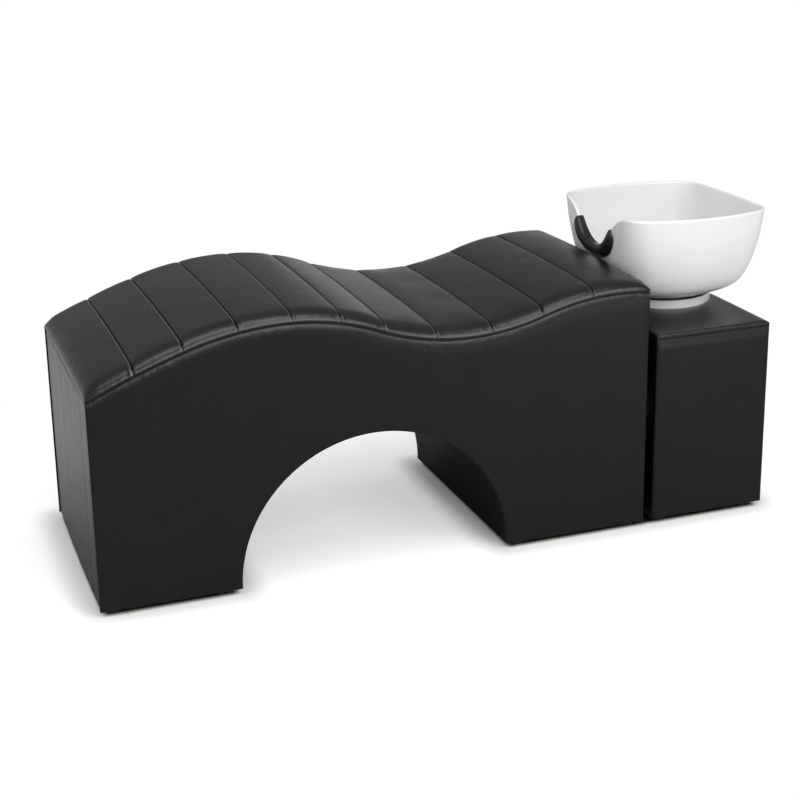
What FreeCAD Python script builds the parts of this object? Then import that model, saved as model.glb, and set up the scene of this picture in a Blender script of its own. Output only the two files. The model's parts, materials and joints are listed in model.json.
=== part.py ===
import FreeCAD, Part
import math
import os

from FreeCAD import Vector

# Hair washing bed: a wave-shaped upholstered lounger over an arch, bolted to a pedestal
# that carries a ceramic basin. Lengths are in millimetres. While it is built, x runs from
# the foot-end face towards the basin, y = 0 is the middle plane and z = 0 is the floor.
# Each saved piece is moved along x so that the origin ends up under the middle.

# Lounger
bed_length = 1433.0
bed_width = 650.0
foot_height = 538.0
crest_from_foot = 478.0
crest_height = 671.0
trough_from_foot = 937.0
trough_height = 582.0
pillow_from_foot = 1350.0
pillow_height = 650.0
head_drop = 5.0
foot_slope_share = 0.47
head_slope_share = -0.12
ground_gap = 14.0

# Arch under the lounger
arch_radius = 347.0
arch_from_foot = 692.0
arch_centre_height = 20.0

# Boards, foam and covering
board = 18.0
bent_board = 6.0
cover = 6.0
arch_cover_thickness = 5.0
cover_edge_radius = 3.0
end_face_bulge = 3.0
foam = 40.0
fit_gap = 0.2
overrun = 20.0
skirt = 4.0
shoulder_flat_count = 2

# Quilted seat cover: a crowned panel between each pair of sewn channels
seat_shoulder = 22.0
seat_crown = 10.0
channel_depth = 8.0
channel_draw_in = 2.0
end_roll = 34.0
channel_shares = (0.079, 0.160, 0.251, 0.343, 0.427, 0.503, 0.596, 0.698, 0.792, 0.889)
panel_station_shares = (0.0, 0.12, 0.5, 0.88, 1.0)
panel_height_shares = (0.0, 0.68, 1.0, 0.68, 0.0)
panel_middle_share = 0.5
roll_station_shares = (0.0, 0.18, 0.47, 1.0)
roll_height_shares = (0.12, 0.57, 0.85, 1.0)

# Framing inside the lounger
batten_thickness = 20.0
batten_depth = 45.0
batten_shares = (0.07, 0.20, 0.33, 0.47, 0.60, 0.74, 0.87)
post_width = 30.0

# Glides under every leg
glide_radius = 20.0
glide_inset = 36.0
glide_flat_count = 12

# Pedestal
pedestal_gap = 24.0
pedestal_below_pillow = 134.0
pad_depth = 16.0
pad_shoulder = 8.0
pad_crown = 5.0
pad_end_roll = 26.0
panel_gap = 1.5
access_board = 12.0
hose_cutout_length = 150.0
hose_cutout_width = 220.0
hose_cutout_corner = 20.0
floor_bolt_radius = 5.5
floor_bolt_spacing_x = 210.0
floor_bolt_spacing_y = 480.0
catch_length = 46.0
catch_width = 16.0
catch_depth = 14.0
catch_plate = 2.0
catch_inset = 60.0

# Bolts and spacers that join the pedestal to the lounger
link_bolt_radius = 5.0
link_hole_clearance = 0.3
link_head_radius = 9.2
link_head = 6.4
link_nut = 8.0
link_rail_half_length = 230.0
link_rail_height = 60.0
link_thread_end = 6.0
link_spacing_y = 400.0
link_height = 300.0

# Basin: a rounded square bowl whose round bottom is part of a ball
rim_half_length = 213.0
rim_half_width = 247.0
rim_corner = 70.0
rim_bulge_x = 4.0
rim_bulge_y = 23.0
rim_round = 5.0
bowl_wall = 11.0
rim_overhang = 3.0
bowl_bottom_rise = 10.0
ball_radius = 345.0
ball_cap_radius = 165.0
cap_corner = 160.0
cap_bulge = 1.0
bowl_level_shares = (0.04, 0.12, 0.26, 0.46, 0.70, 1.0)
bowl_growth_shares = (0.33, 0.48, 0.63, 0.79, 0.91, 1.0)
cap_radius_shares = (0.3, 0.55, 0.78, 1.0)
bowl_flat_count = 40

# Neck notch and the soft rest that clips over it
notch_radius = 100.0
notch_depth = 112.0
notch_above_pillow = 33.0
notch_flare_radius = 110.0
rest_top = 10.0
rest_drop = 23.0
rest_outside = 9.0
rest_inside = 8.0
rest_tip_half_width = 92.0
rest_tip_depth = 50.0
rest_gap = 0.6
rest_inside_half_width = 48.0

# Ring seat under the bowl
ring_radius = 135.0
ring_inner_radius = 121.0
ring_rise = 31.0
ring_rear_margin = 12.0
gasket_inner_radius = 125.0
gasket_outer_radius = 132.0
seat_gap = 0.3
pad_hole_gap = 0.5

# Waste through the bowl, and the slot that guides it
waste_radius = 24.0
waste_bore = 17.5
waste_hole_gap = 1.0
waste_flange_radius = 36.0
waste_flange = 2.5
waste_recess_gap = 1.0
waste_nut_radius = 34.0
waste_nut = 9.0
waste_drop = 60.0
tail_radius = 20.0
tail_length = 45.0
slot_plate = 3.0
slot_gap = 1.0
slot_reach_rear = 44.0
slot_reach_front = 10.0
board_slot_gap = 10.0
slot_plate_margin = 16.0
retainer_gap = 9.0
retainer_side = 84.0
retainer_plate = 3.0

# Lift-out strainer in the waste
strainer_radius = 27.0
strainer_sheet = 1.5
strainer_slot_width = 4.0
strainer_slot_start = 7.0
strainer_slot_end = 17.0
strainer_slot_count = 8
strainer_knob_radius = 4.0
strainer_knob_height = 9.0
strainer_seat_gap = 0.3
hexagon_side_count = 6

half_width = bed_width / 2
inner_half = half_width - cover
frame_half = inner_half - board
arch_board_radius = arch_radius + arch_cover_thickness
arch_cut_radius = arch_board_radius + bent_board
pedestal_start = bed_length + pedestal_gap
bowl_from_foot = bed_length + rim_half_length - rim_overhang
pedestal_end = bowl_from_foot + ring_radius + ring_rear_margin
head_height = pillow_height - head_drop
pedestal_height = pillow_height - pedestal_below_pillow
pedestal_top = pedestal_height - pad_depth
ball_height = pedestal_height + bowl_bottom_rise + ball_radius
ring_top_height = pedestal_height + ring_rise
waste_bottom_height = pedestal_top - waste_drop
tail_bottom_height = waste_bottom_height - tail_length
notch_bottom_height = pillow_height + notch_above_pillow
rim_height = notch_bottom_height + notch_depth
rest_tip_height = rim_height - rest_tip_depth
overall_length = bowl_from_foot + rim_half_length


def save(name, shape):
    """Write one piece, with the origin under the middle of the whole length."""
    piece = shape.copy()
    piece.translate(Vector(-overall_length / 2, 0, 0))
    piece.exportStep("parts/" + name + ".step")


def box(x0, x1, y0, y1, z0, z1):
    return Part.makeBox(x1 - x0, y1 - y0, z1 - z0, Vector(x0, y0, z0))


def cylinder(x, y, z0, z1, radius):
    return Part.makeCylinder(radius, z1 - z0, Vector(x, y, z0))


def cylinder_x(x0, x1, y, z, radius):
    return Part.makeCylinder(radius, x1 - x0, Vector(x0, y, z), Vector(1, 0, 0))


def arc(a, middle, b):
    return Part.Arc(a, middle, b).toShape()


def line(a, b):
    return Part.LineSegment(a, b).toShape()


def closed_wire(edges):
    return Part.Wire(Part.__sortEdges__(edges))


def solid_along_y(edges, y0, y1):
    """Push an outline that lies in the plane y = 0 out to the span from y0 to y1."""
    face = Part.Face(closed_wire(edges))
    face.translate(Vector(0, y0, 0))
    return face.extrude(Vector(0, y1 - y0, 0))


def loft(wires):
    """Solid through the wires, straight from each one to the next."""
    return Part.makeLoft(wires, True, True)


def revolve(points, x):
    """Turn an outline of (radius, height) points about the upright line at x."""
    corners = [Vector(x + radius, 0, height) for radius, height in points]
    face = Part.Face(Part.makePolygon(corners + corners[:1]))
    return face.revolve(Vector(x, 0, 0), Vector(0, 0, 1), 360)


def prism(x, y, z0, z1, radius, sides):
    """Upright prism with its corners on the radius."""
    turns = [2 * math.pi * i / sides for i in range(sides + 1)]
    corners = [Vector(x + radius * math.cos(t), y + radius * math.sin(t), z0) for t in turns]
    return Part.Face(Part.makePolygon(corners)).extrude(Vector(0, 0, z1 - z0))


def hexagon(x, z0, z1, radius):
    return prism(x, 0, z0, z1, radius, hexagon_side_count)


def hexagon_x(x0, x1, y, z, radius):
    """Hexagonal prism lying along x."""
    turns = [2 * math.pi * i / hexagon_side_count for i in range(hexagon_side_count + 1)]
    corners = [Vector(x0, y + radius * math.cos(t), z + radius * math.sin(t)) for t in turns]
    return Part.Face(Part.makePolygon(corners)).extrude(Vector(x1 - x0, 0, 0))


def slot_shape(x0, x1, half, z0, z1):
    """Round-ended slot along x, with its ends' centres at x0 and x1."""
    middle = box(x0, x1, -half, half, z0, z1)
    return middle.fuse([cylinder(x0, 0, z0, z1, half), cylinder(x1, 0, z0, z1, half)])


# The wave of the lounger's top seam

def wave_knots():
    """Stations of the seam: distance from the foot, height and slope."""
    return [
        (0, foot_height, foot_slope_share),
        (crest_from_foot, crest_height, 0),
        (trough_from_foot, trough_height, 0),
        (pillow_from_foot, pillow_height, 0),
        (bed_length, head_height, head_slope_share),
    ]


def arc_centre(point, slope, other):
    """Centre of the arc that leaves a point along a slope and passes through another."""
    across = Vector(-slope, 0, 1).normalize()
    chord = other - point
    return point + across * (chord.dot(chord) / (2 * across.dot(chord)))


def wave_arcs():
    """The seam as arcs that run smoothly into each other, two between each two stations."""
    arcs = []
    for (x0, z0, s0), (x1, z1, s1) in zip(wave_knots(), wave_knots()[1:]):
        start = Vector(x0, 0, z0)
        end = Vector(x1, 0, z1)
        leave = Vector(1, 0, s0).normalize()
        arrive = Vector(1, 0, s1).normalize()
        chord = end - start
        both = leave + arrive
        along = chord.dot(both)
        spread = 4 - both.dot(both)
        reach = chord.dot(chord) / (along + math.sqrt(along ** 2 + spread * chord.dot(chord)))
        joint = (start + end + (leave - arrive) * reach) / 2
        arcs.append((x0, joint.x, arc_centre(start, s0, joint), start))
        arcs.append((joint.x, x1, arc_centre(end, s1, joint), end))
    return arcs


def wave_height(x):
    """Height of the seam at a distance x from the foot end."""
    for x0, x1, centre, point in wave_arcs():
        if x <= x1 or x1 == bed_length:
            up = math.sqrt((point - centre).Length ** 2 - (x - centre.x) ** 2)
            return centre.z + math.copysign(up, point.z - centre.z)
    return head_height


def wave_point(x, drop):
    return Vector(x, 0, wave_height(x) - drop)


def wave_edges(drop, x0, x1):
    """The seam line lowered by drop, from x0 to x1."""
    edges = []
    for a, b, _, _ in wave_arcs():
        start = max(x0, a)
        end = min(x1, b)
        if end > start:
            middle = (start + end) / 2
            edges.append(arc(wave_point(start, drop), wave_point(middle, drop), wave_point(end, drop)))
    return edges


def under_wave(drop, x0, x1, y0, y1, bottom):
    """Block from the given bottom up to the lowered seam line."""
    edges = wave_edges(drop, x0, x1)
    first = edges[0].firstVertex().Point
    last = edges[-1].lastVertex().Point
    low_first = Vector(first.x, 0, bottom)
    low_last = Vector(last.x, 0, bottom)
    sides = [line(last, low_last), line(low_last, low_first), line(low_first, first)]
    return solid_along_y(edges + sides, y0, y1)


def wave_slab(top_drop, bottom_drop, x0, x1, y0, y1):
    """Sheet of even upright depth that follows the seam line."""
    top = wave_edges(top_drop, x0, x1)
    bottom = wave_edges(bottom_drop, x0, x1)
    sides = [
        line(top[0].firstVertex().Point, bottom[0].firstVertex().Point),
        line(top[-1].lastVertex().Point, bottom[-1].lastVertex().Point),
    ]
    return solid_along_y(top + bottom + sides, y0, y1)


def arch_tunnel(radius, y0, y1):
    """Space under the arch: a half round on short straight legs."""
    left = Vector(arch_from_foot - radius, 0, arch_centre_height)
    right = Vector(arch_from_foot + radius, 0, arch_centre_height)
    top = Vector(arch_from_foot, 0, arch_centre_height + radius)
    low = -overrun
    low_left = Vector(left.x, 0, low)
    low_right = Vector(right.x, 0, low)
    edges = [arc(left, top, right), line(right, low_right)]
    edges += [line(low_right, low_left), line(low_left, left)]
    return solid_along_y(edges, y0, y1)


# Seat

def crowned_profile(x, base, half, shoulder, crown):
    """Cross-section of a crowned pad: round shoulders and a shallow arc above a low skirt."""
    tilt = 0.0
    for _ in range(4):
        reach = half - shoulder + shoulder * math.sin(tilt)
        tilt = 2 * math.atan(crown / reach)
    right = []
    for i in range(shoulder_flat_count + 1):
        turn = (math.pi / 2 - tilt) * i / shoulder_flat_count
        across = half - shoulder + shoulder * math.cos(turn)
        right.append(Vector(x, across, base + shoulder * math.sin(turn)))
    left = [Vector(x, -point.y, point.z) for point in reversed(right)]
    crest = Vector(x, 0, right[-1].z + crown)
    right.insert(0, Vector(x, half, base - skirt))
    left.append(Vector(x, -half, base - skirt))
    edges = [line(a, b) for a, b in zip(right, right[1:])]
    edges.append(arc(right[-1], crest, left[0]))
    edges += [line(a, b) for a, b in zip(left, left[1:])]
    edges.append(line(left[-1], right[0]))
    return Part.Wire(edges)


def seat_profile(x, lift_share, roll_share):
    """Seat section: lift_share runs from a sewn channel to the full panel."""
    low_shoulder = seat_shoulder - channel_depth
    shoulder = (low_shoulder + lift_share * channel_depth) * roll_share
    half = half_width - channel_draw_in * (1 - lift_share)
    return crowned_profile(x, wave_height(x), half, shoulder, seat_crown * roll_share)


def end_roll_wires(x, towards):
    """Sections of the rounded end of the seat, from its end face inwards."""
    wires = []
    for station, height in zip(roll_station_shares, roll_height_shares):
        wires.append(seat_profile(x + towards * end_roll * station, 1.0, height))
    return wires


def panel_wires(a, b, first, last):
    """Sections of one crowned panel after its first channel, up to its second."""
    wires = []
    for place, height in zip(panel_station_shares[1:], panel_height_shares[1:]):
        beside_roll = (first and place < panel_middle_share) or (last and place > panel_middle_share)
        wires.append(seat_profile(a + (b - a) * place, 1.0 if beside_roll else height, 1.0))
    return wires


def make_seat_cover():
    """Quilted cover: one crowned panel between each two channels, rolled at both ends."""
    channels = [bed_length * share for share in channel_shares]
    starts = [end_roll] + channels
    ends = channels + [bed_length - end_roll]
    wires = end_roll_wires(0, 1)
    for a, b in zip(starts, ends):
        wires += panel_wires(a, b, a == end_roll, b == ends[-1])
    wires += list(reversed(end_roll_wires(bed_length, -1)))[1:]
    return loft(wires).cut(under_wave(0, 0, bed_length, -bed_width, bed_width, 0))


def make_seat():
    save("seat_quilted_cover", make_seat_cover())
    save("seat_foam", wave_slab(fit_gap, foam, cover, bed_length - cover, -frame_half, frame_half))
    deck_drop = foam + fit_gap
    deck = wave_slab(deck_drop, deck_drop + bent_board, cover, bed_length - cover, -frame_half, frame_half)
    save("deck_board", deck)


# Lounger frame

def make_side_panels():
    """Two side boards with the wave on top and the arch below."""
    outline = under_wave(fit_gap, cover, bed_length - cover, -inner_half, -frame_half, ground_gap)
    panel = outline.cut(arch_tunnel(arch_cut_radius + fit_gap, -half_width, half_width))
    save("near_side_panel", panel)
    save("far_side_panel", panel.mirror(Vector(0, 0, 0), Vector(0, 1, 0)))


def link_points():
    """Places of the bolts that join pedestal and lounger."""
    return [(-link_spacing_y / 2, link_height), (link_spacing_y / 2, link_height)]


def link_holes(x0, x1):
    radius = link_bolt_radius + link_hole_clearance
    holes = [cylinder_x(x0, x1, y, z, radius) for y, z in link_points()]
    return Part.makeCompound(holes)


def glide_points(x0, x1):
    """Four glide places under a leg that spans x0 to x1."""
    y = half_width - glide_inset
    return [(x, side * y) for x in (x0 + glide_inset, x1 - glide_inset) for side in (-1, 1)]


def make_end_boards():
    """Upright boards across the foot and head ends."""
    ceiling = foam + bent_board + 2 * fit_gap
    foot = under_wave(ceiling, cover, cover + board, -frame_half, frame_half, ground_gap)
    head_x = bed_length - cover
    head = under_wave(ceiling, head_x - board, head_x, -frame_half, frame_half, ground_gap)
    save("foot_end_board", foot)
    save("head_end_board", head.cut(link_holes(head_x - board - overrun, head_x + overrun)))


def make_leg_bases():
    """Bottom boards of both legs, which rest on the glides."""
    tunnel = arch_tunnel(arch_cut_radius + fit_gap, -half_width, half_width)
    top = ground_gap + board
    foot_start = cover + board
    head_end = bed_length - cover - board
    foot = box(foot_start, arch_from_foot, -frame_half, frame_half, ground_gap, top)
    head = box(arch_from_foot, head_end, -frame_half, frame_half, ground_gap, top)
    save("foot_leg_base", foot.cut(tunnel))
    save("head_leg_base", head.cut(tunnel))


def make_battens():
    """Cross battens that carry the deck, planed to its curve."""
    ceiling = foam + bent_board + 2 * fit_gap
    under_deck = under_wave(ceiling, 0, bed_length, -frame_half, frame_half, 0)
    battens = []
    for share in batten_shares:
        x = bed_length * share
        low = wave_height(x) - ceiling - batten_depth
        half = batten_thickness / 2
        blank = box(x - half, x + half, -frame_half, frame_half, low, crest_height)
        battens.append(blank.common(under_deck))
    save("deck_battens", Part.makeCompound(battens))


def make_corner_posts():
    """Glue posts in the four outer corners of the frame."""
    ceiling = foam + bent_board + 2 * fit_gap
    floor = ground_gap + board
    posts = []
    for x0 in (cover + board, bed_length - cover - board - post_width):
        for y0 in (-frame_half, frame_half - post_width):
            posts.append(under_wave(ceiling, x0, x0 + post_width, y0, y0 + post_width, floor))
    save("corner_posts", Part.makeCompound(posts))


def make_arch_board():
    """Bent board that lines the arch between the outer faces of the side panels."""
    outside = arch_tunnel(arch_cut_radius, -inner_half, inner_half)
    inside = arch_tunnel(arch_board_radius, -inner_half, inner_half)
    shell = outside.cut(inside)
    low = box(0, bed_length, -half_width, half_width, -2 * overrun, ground_gap)
    save("arch_lining_board", shell.cut(low))


# Lounger covering

def make_side_covers():
    """Padded covers over both side panels, up to the seam."""
    outline = under_wave(0, 0, bed_length, -half_width, -inner_half, ground_gap)
    skin = outline.cut(arch_tunnel(arch_radius, -half_width - overrun, half_width))
    corners = []
    for edge in skin.Edges:
        a, b = edge.Vertexes[0].Point, edge.Vertexes[-1].Point
        upright = abs(a.x - b.x) < fit_gap and abs(a.y - b.y) < fit_gap
        at_end = a.x < fit_gap or a.x > bed_length - fit_gap
        if upright and at_end and a.y < -inner_half - fit_gap:
            corners.append(edge)
    skin = skin.makeFillet(cover_edge_radius, corners)
    save("near_side_cover", skin)
    save("far_side_cover", skin.mirror(Vector(0, 0, 0), Vector(0, 1, 0)))


def bulged_panel(flat_x, face_x, towards, half, z0, z1):
    """Upright cover panel with a gently rounded outer face."""
    edge_x = face_x - towards * end_face_bulge
    corners = [Vector(flat_x, -half, z0), Vector(flat_x, half, z0)]
    front = [Vector(edge_x, half, z0), Vector(edge_x, -half, z0)]
    edges = [
        line(corners[0], corners[1]),
        line(corners[1], front[0]),
        arc(front[0], Vector(face_x, 0, z0), front[1]),
        line(front[1], corners[0]),
    ]
    return Part.Face(Part.Wire(edges)).extrude(Vector(0, 0, z1 - z0))


def make_end_covers():
    foot = bulged_panel(cover, 0, -1, inner_half, ground_gap, foot_height)
    save("foot_end_cover", foot.common(under_wave(0, 0, cover, -inner_half, inner_half, ground_gap)))
    head_x = bed_length - cover
    head = box(head_x, bed_length, -inner_half, inner_half, ground_gap, pillow_height)
    head = head.common(under_wave(0, head_x, bed_length, -inner_half, inner_half, ground_gap))
    save("head_end_cover", head.cut(link_holes(head_x - overrun, bed_length + overrun)))


def make_arch_cover():
    outside = arch_tunnel(arch_board_radius - fit_gap, -inner_half, inner_half)
    inside = arch_tunnel(arch_radius, -inner_half, inner_half)
    low = box(0, bed_length, -half_width, half_width, -2 * overrun, ground_gap)
    save("arch_cover", outside.cut(inside).cut(low))


# Glides

def make_glides(name, points):
    glides = [prism(x, y, 0, ground_gap, glide_radius, glide_flat_count) for x, y in points]
    save(name + "_glides", Part.makeCompound(glides))


# Pedestal

def make_pedestal_boards():
    """Five boards of the pedestal box; its rear stays open for the access panel."""
    front = pedestal_start + cover
    rear = pedestal_end - cover - access_board - panel_gap
    near = box(front, rear, -inner_half, -frame_half, ground_gap, pedestal_top)
    save("pedestal_near_panel", near)
    save("pedestal_far_panel", near.mirror(Vector(0, 0, 0), Vector(0, 1, 0)))
    board_bottom = pedestal_top - board
    front_board = box(front, front + board, -frame_half, frame_half, ground_gap, board_bottom)
    save("pedestal_front_board", front_board.cut(link_holes(front - overrun, front + board + overrun)))
    base = box(front + board, rear, -frame_half, frame_half, ground_gap, ground_gap + board)
    save("pedestal_base_board", base.cut(hose_cutout()).cut(floor_bolt_holes()))
    top = box(front, rear, -frame_half, frame_half, board_bottom, pedestal_top)
    slot_half = waste_radius + board_slot_gap
    reach_front = bowl_from_foot - slot_reach_front
    reach_rear = bowl_from_foot + slot_reach_rear
    slot = slot_shape(reach_front, reach_rear, slot_half, board_bottom - overrun, pedestal_top + overrun)
    save("pedestal_top_board", top.cut(slot))


def pedestal_middle():
    return (pedestal_start + pedestal_end) / 2


def hose_cutout():
    """Opening in the base board for the waste and water pipes."""
    x = pedestal_middle()
    half_x = hose_cutout_length / 2
    half_y = hose_cutout_width / 2
    block = box(x - half_x, x + half_x, -half_y, half_y, 0, ground_gap + board + overrun)
    upright = [e for e in block.Edges if abs(e.Vertexes[0].Z - e.Vertexes[1].Z) > board]
    return block.makeFillet(hose_cutout_corner, upright)


def floor_bolt_holes():
    holes = []
    for x in (-floor_bolt_spacing_x / 2, floor_bolt_spacing_x / 2):
        for y in (-floor_bolt_spacing_y / 2, floor_bolt_spacing_y / 2):
            place = pedestal_middle() + x
            holes.append(cylinder(place, y, 0, ground_gap + board + overrun, floor_bolt_radius))
    return Part.makeCompound(holes)


def make_pedestal_covers():
    """Padded covers on the two sides and on the face towards the lounger."""
    near = box(pedestal_start, pedestal_end, -half_width, -inner_half, ground_gap, pedestal_height)
    outer = [e for e in near.Edges
             if abs(e.Vertexes[0].Z - e.Vertexes[1].Z) > board and e.Vertexes[0].Y < -inner_half - fit_gap]
    near = near.makeFillet(cover_edge_radius, outer)
    save("pedestal_near_cover", near)
    save("pedestal_far_cover", near.mirror(Vector(0, 0, 0), Vector(0, 1, 0)))
    flat_x = pedestal_start + cover
    front = box(pedestal_start, flat_x, -inner_half, inner_half, ground_gap, pedestal_height)
    save("pedestal_front_cover", front.cut(link_holes(pedestal_start - overrun, flat_x + overrun)))


def make_access_panel():
    """Lift-off rear panel: a board, its cover and the steel plates of its catches."""
    cover_x = pedestal_end - cover
    half = inner_half - panel_gap
    low = ground_gap + panel_gap
    high = pedestal_top - panel_gap
    panel = box(cover_x - access_board, cover_x, -half, half, low, high)
    save("access_panel_board", panel)
    skin = bulged_panel(cover_x, pedestal_end, 1, half, low, high)
    save("access_panel_cover", skin)
    plates = []
    catches = []
    plate_x = cover_x - access_board - catch_plate
    for z in (ground_gap + catch_inset, pedestal_top - board - catch_inset):
        for side in (-1, 1):
            y0, y1 = sorted((side * frame_half, side * (frame_half - catch_width)))
            z0, z1 = z - catch_length / 2, z + catch_length / 2
            plates.append(box(plate_x, plate_x + catch_plate, y0, y1, z0, z1))
            rear = plate_x - seat_gap
            catches.append(box(rear - catch_depth, rear, y0, y1, z0, z1))
    save("access_panel_strike_plates", Part.makeCompound(plates))
    save("magnetic_catches", Part.makeCompound(catches))


def pad_profile(x, roll_share):
    shoulder = pad_shoulder * roll_share
    return crowned_profile(x, pedestal_height, half_width, shoulder, pad_crown * roll_share)


def make_pedestal_pad():
    """Crowned pad on top of the pedestal, cut out round the ring seat."""
    front = []
    rear = []
    for station, height in zip(roll_station_shares, roll_height_shares):
        front.append(pad_profile(pedestal_start + pad_end_roll * station, height))
        rear.append(pad_profile(pedestal_end - pad_end_roll * station, height))
    below = box(pedestal_start, pedestal_end, -bed_width, bed_width, 0, pedestal_height)
    crown = loft(front + list(reversed(rear))).cut(below)
    slab_start = pedestal_start + cover
    slab = box(slab_start, pedestal_end, -inner_half, inner_half, pedestal_top, pedestal_height)
    hole = cylinder(bowl_from_foot, 0, 0, rim_height, ring_radius + pad_hole_gap)
    save("pedestal_top_pad", crown.fuse(slab).cut(hole))


# Links between lounger and pedestal

def make_links():
    """Spacer rail and through bolts that hold the pedestal a fixed gap from the lounger."""
    inside_bed = bed_length - cover - board
    inside_pedestal = pedestal_start + cover + board
    low = link_height - link_rail_height / 2
    half = link_rail_half_length
    rail = box(bed_length, pedestal_start, -half, half, low, low + link_rail_height)
    save("link_spacer_rail", rail.cut(link_holes(bed_length, pedestal_start)))
    bolts = []
    nuts = []
    for y, z in link_points():
        head = hexagon_x(inside_pedestal, inside_pedestal + link_head, y, z, link_head_radius)
        shank = cylinder_x(inside_bed - link_nut - link_thread_end, inside_pedestal, y, z, link_bolt_radius)
        bolts.append(head.fuse(shank))
        nut_bore = cylinder_x(inside_bed - link_nut, inside_bed, y, z, link_bolt_radius)
        nuts.append(hexagon_x(inside_bed - link_nut, inside_bed, y, z, link_head_radius).cut(nut_bore))
    save("link_bolts", Part.makeCompound(bolts))
    save("link_nuts", Part.makeCompound(nuts))


# Basin

def blend(start, end, share):
    return start + (end - start) * share


def side_circle(reach, along, across, corner):
    """Centre and radius of the side arc that bulges out to reach and meets the corner arc."""
    back = along - reach
    radius = (corner ** 2 - back ** 2 - across ** 2) / (2 * (back + corner))
    return reach - radius, radius


def rounded_square(half_x, half_y, corner, bulge_x, bulge_y, z):
    """Section of four bulged sides that run smoothly into round corners, as flats at even turns."""
    cx = half_x - corner - bulge_x
    cy = half_y - corner - bulge_y
    end_x, end_radius = side_circle(half_x, cx, cy, corner)
    side_y, side_radius = side_circle(half_y, cy, cx, corner)
    first = math.atan2(cy, cx - end_x)
    last = math.atan2(cy - side_y, cx)

    def reach(turn):
        """Distance from the middle to the flat that faces this way."""
        c = abs(math.cos(turn))
        s = abs(math.sin(turn))
        facing = math.atan2(s, c)
        if facing < first:
            return end_x * c + end_radius
        if facing > last:
            return side_y * s + side_radius
        return cx * c + cy * s + corner

    return flat_ring(reach, z)


def flat_ring(reach, z):
    """Closed ring of corners about the bowl's middle, with each flat at its own distance."""
    step = 2 * math.pi / bowl_flat_count
    corners = []
    for i in range(bowl_flat_count):
        before = i * step
        after = before + step
        x = reach(before) * math.sin(after) - reach(after) * math.sin(before)
        y = reach(after) * math.cos(before) - reach(before) * math.cos(after)
        corners.append(Vector(bowl_from_foot + x / math.sin(step), y / math.sin(step), z))
    return corners + corners[:1]


def round_ring(radius, z):
    """Ring whose corners lie on a circle."""
    return flat_ring(lambda turn: radius * math.cos(math.pi / bowl_flat_count), z)


def flat_sided(rings):
    """Solid between rings of corners whose flats face the same ways."""
    faces = [Part.Face(Part.makePolygon(rings[0])), Part.Face(Part.makePolygon(rings[-1]))]
    for low, high in zip(rings, rings[1:]):
        for a, b, c, d in zip(low, low[1:], high[1:], high):
            faces.append(Part.Face(Part.makePolygon([a, b, c, d, a])))
    return Part.makeSolid(Part.makeShell(faces))


def ball_level(radius, inset):
    """Height of the ball's lower skin, inset by a wall, at a distance from its middle."""
    return ball_height - math.sqrt((ball_radius - inset) ** 2 - radius ** 2)


def bowl_section(growth, inset, z):
    """Outline of the bowl on its way from the round cap to the full rim."""
    half_x = blend(ball_cap_radius, rim_half_length, growth) - inset
    half_y = blend(ball_cap_radius, rim_half_width, growth) - inset
    corner = blend(cap_corner, rim_corner, growth) - inset
    bulge_x = blend(cap_bulge, rim_bulge_x, growth)
    bulge_y = blend(cap_bulge, rim_bulge_y, growth)
    return rounded_square(half_x, half_y, corner, bulge_x, bulge_y, z)


def bowl_core(inset, rim_turn):
    """Solid bowl form: part of a ball below widening sections, its rim turned in or out."""
    cap_radius = ball_cap_radius - inset
    cap_top = ball_level(cap_radius, inset)
    rings = []
    for share in cap_radius_shares:
        rings.append(round_ring(cap_radius * share, ball_level(cap_radius * share, inset)))
    for level, growth in zip(bowl_level_shares, bowl_growth_shares):
        rings.append(bowl_section(growth, inset, blend(cap_top, rim_height - rim_round, level)))
    half_turn = math.cos(math.pi / 4)
    turned = inset + rim_turn * (1 - half_turn)
    rings.append(bowl_section(1.0, turned, rim_height - rim_round * (1 - half_turn)))
    rings.append(bowl_section(1.0, inset + rim_turn, rim_height))
    return flat_sided(rings)


def outer_core(grow):
    return bowl_core(-grow, 0)


def inner_core(inset):
    return bowl_core(inset, -rim_round)


def notch_tool(gap):
    """Neck notch through the front wall: a round bottom that flares out to the rim."""
    radius = notch_radius - gap
    flare = notch_flare_radius + gap
    centre_z = notch_bottom_height + notch_radius
    flare_z = rim_height - notch_flare_radius
    flare_y = math.sqrt((notch_radius + notch_flare_radius) ** 2 - (centre_z - flare_z) ** 2)
    share = radius / (radius + flare)
    tangent_y = flare_y * share
    tangent_z = centre_z + (flare_z - centre_z) * share
    top = rim_height + overrun
    turn = (math.atan2(tangent_z - flare_z, tangent_y - flare_y) + math.pi / 2) / 2
    way_y = flare_y + flare * math.cos(turn)
    way_z = flare_z + flare * math.sin(turn)
    crown_z = flare_z + flare
    x = bowl_from_foot - rim_half_length - overrun
    right = [Vector(x, flare_y, crown_z), Vector(x, way_y, way_z), Vector(x, tangent_y, tangent_z)]
    left = [Vector(x, -p.y, p.z) for p in reversed(right)]
    bottom = Vector(x, 0, centre_z - radius)
    lid = [Vector(x, -flare_y, top), Vector(x, flare_y, top)]
    edges = [
        arc(right[0], right[1], right[2]),
        arc(right[2], bottom, left[0]),
        arc(left[0], left[1], left[2]),
        line(left[2], lid[0]),
        line(lid[0], lid[1]),
        line(lid[1], right[0]),
    ]
    return Part.Face(Part.Wire(edges)).extrude(Vector(rim_half_length, 0, 0))


def make_bowl():
    """Ceramic bowl with its neck notch, waste hole and rounded rim."""
    wall = bowl_core(0, rim_round).cut(inner_core(bowl_wall))
    wall = wall.cut(notch_tool(0))
    hole = cylinder(bowl_from_foot, 0, 0, rim_height, waste_radius + waste_hole_gap)
    recess_bottom = ball_level(waste_flange_radius, bowl_wall) - waste_flange
    recess = cylinder(bowl_from_foot, 0, recess_bottom, rim_height, waste_flange_radius + waste_recess_gap)
    save("basin_bowl", wall.cut(hole).cut(recess))


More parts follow.
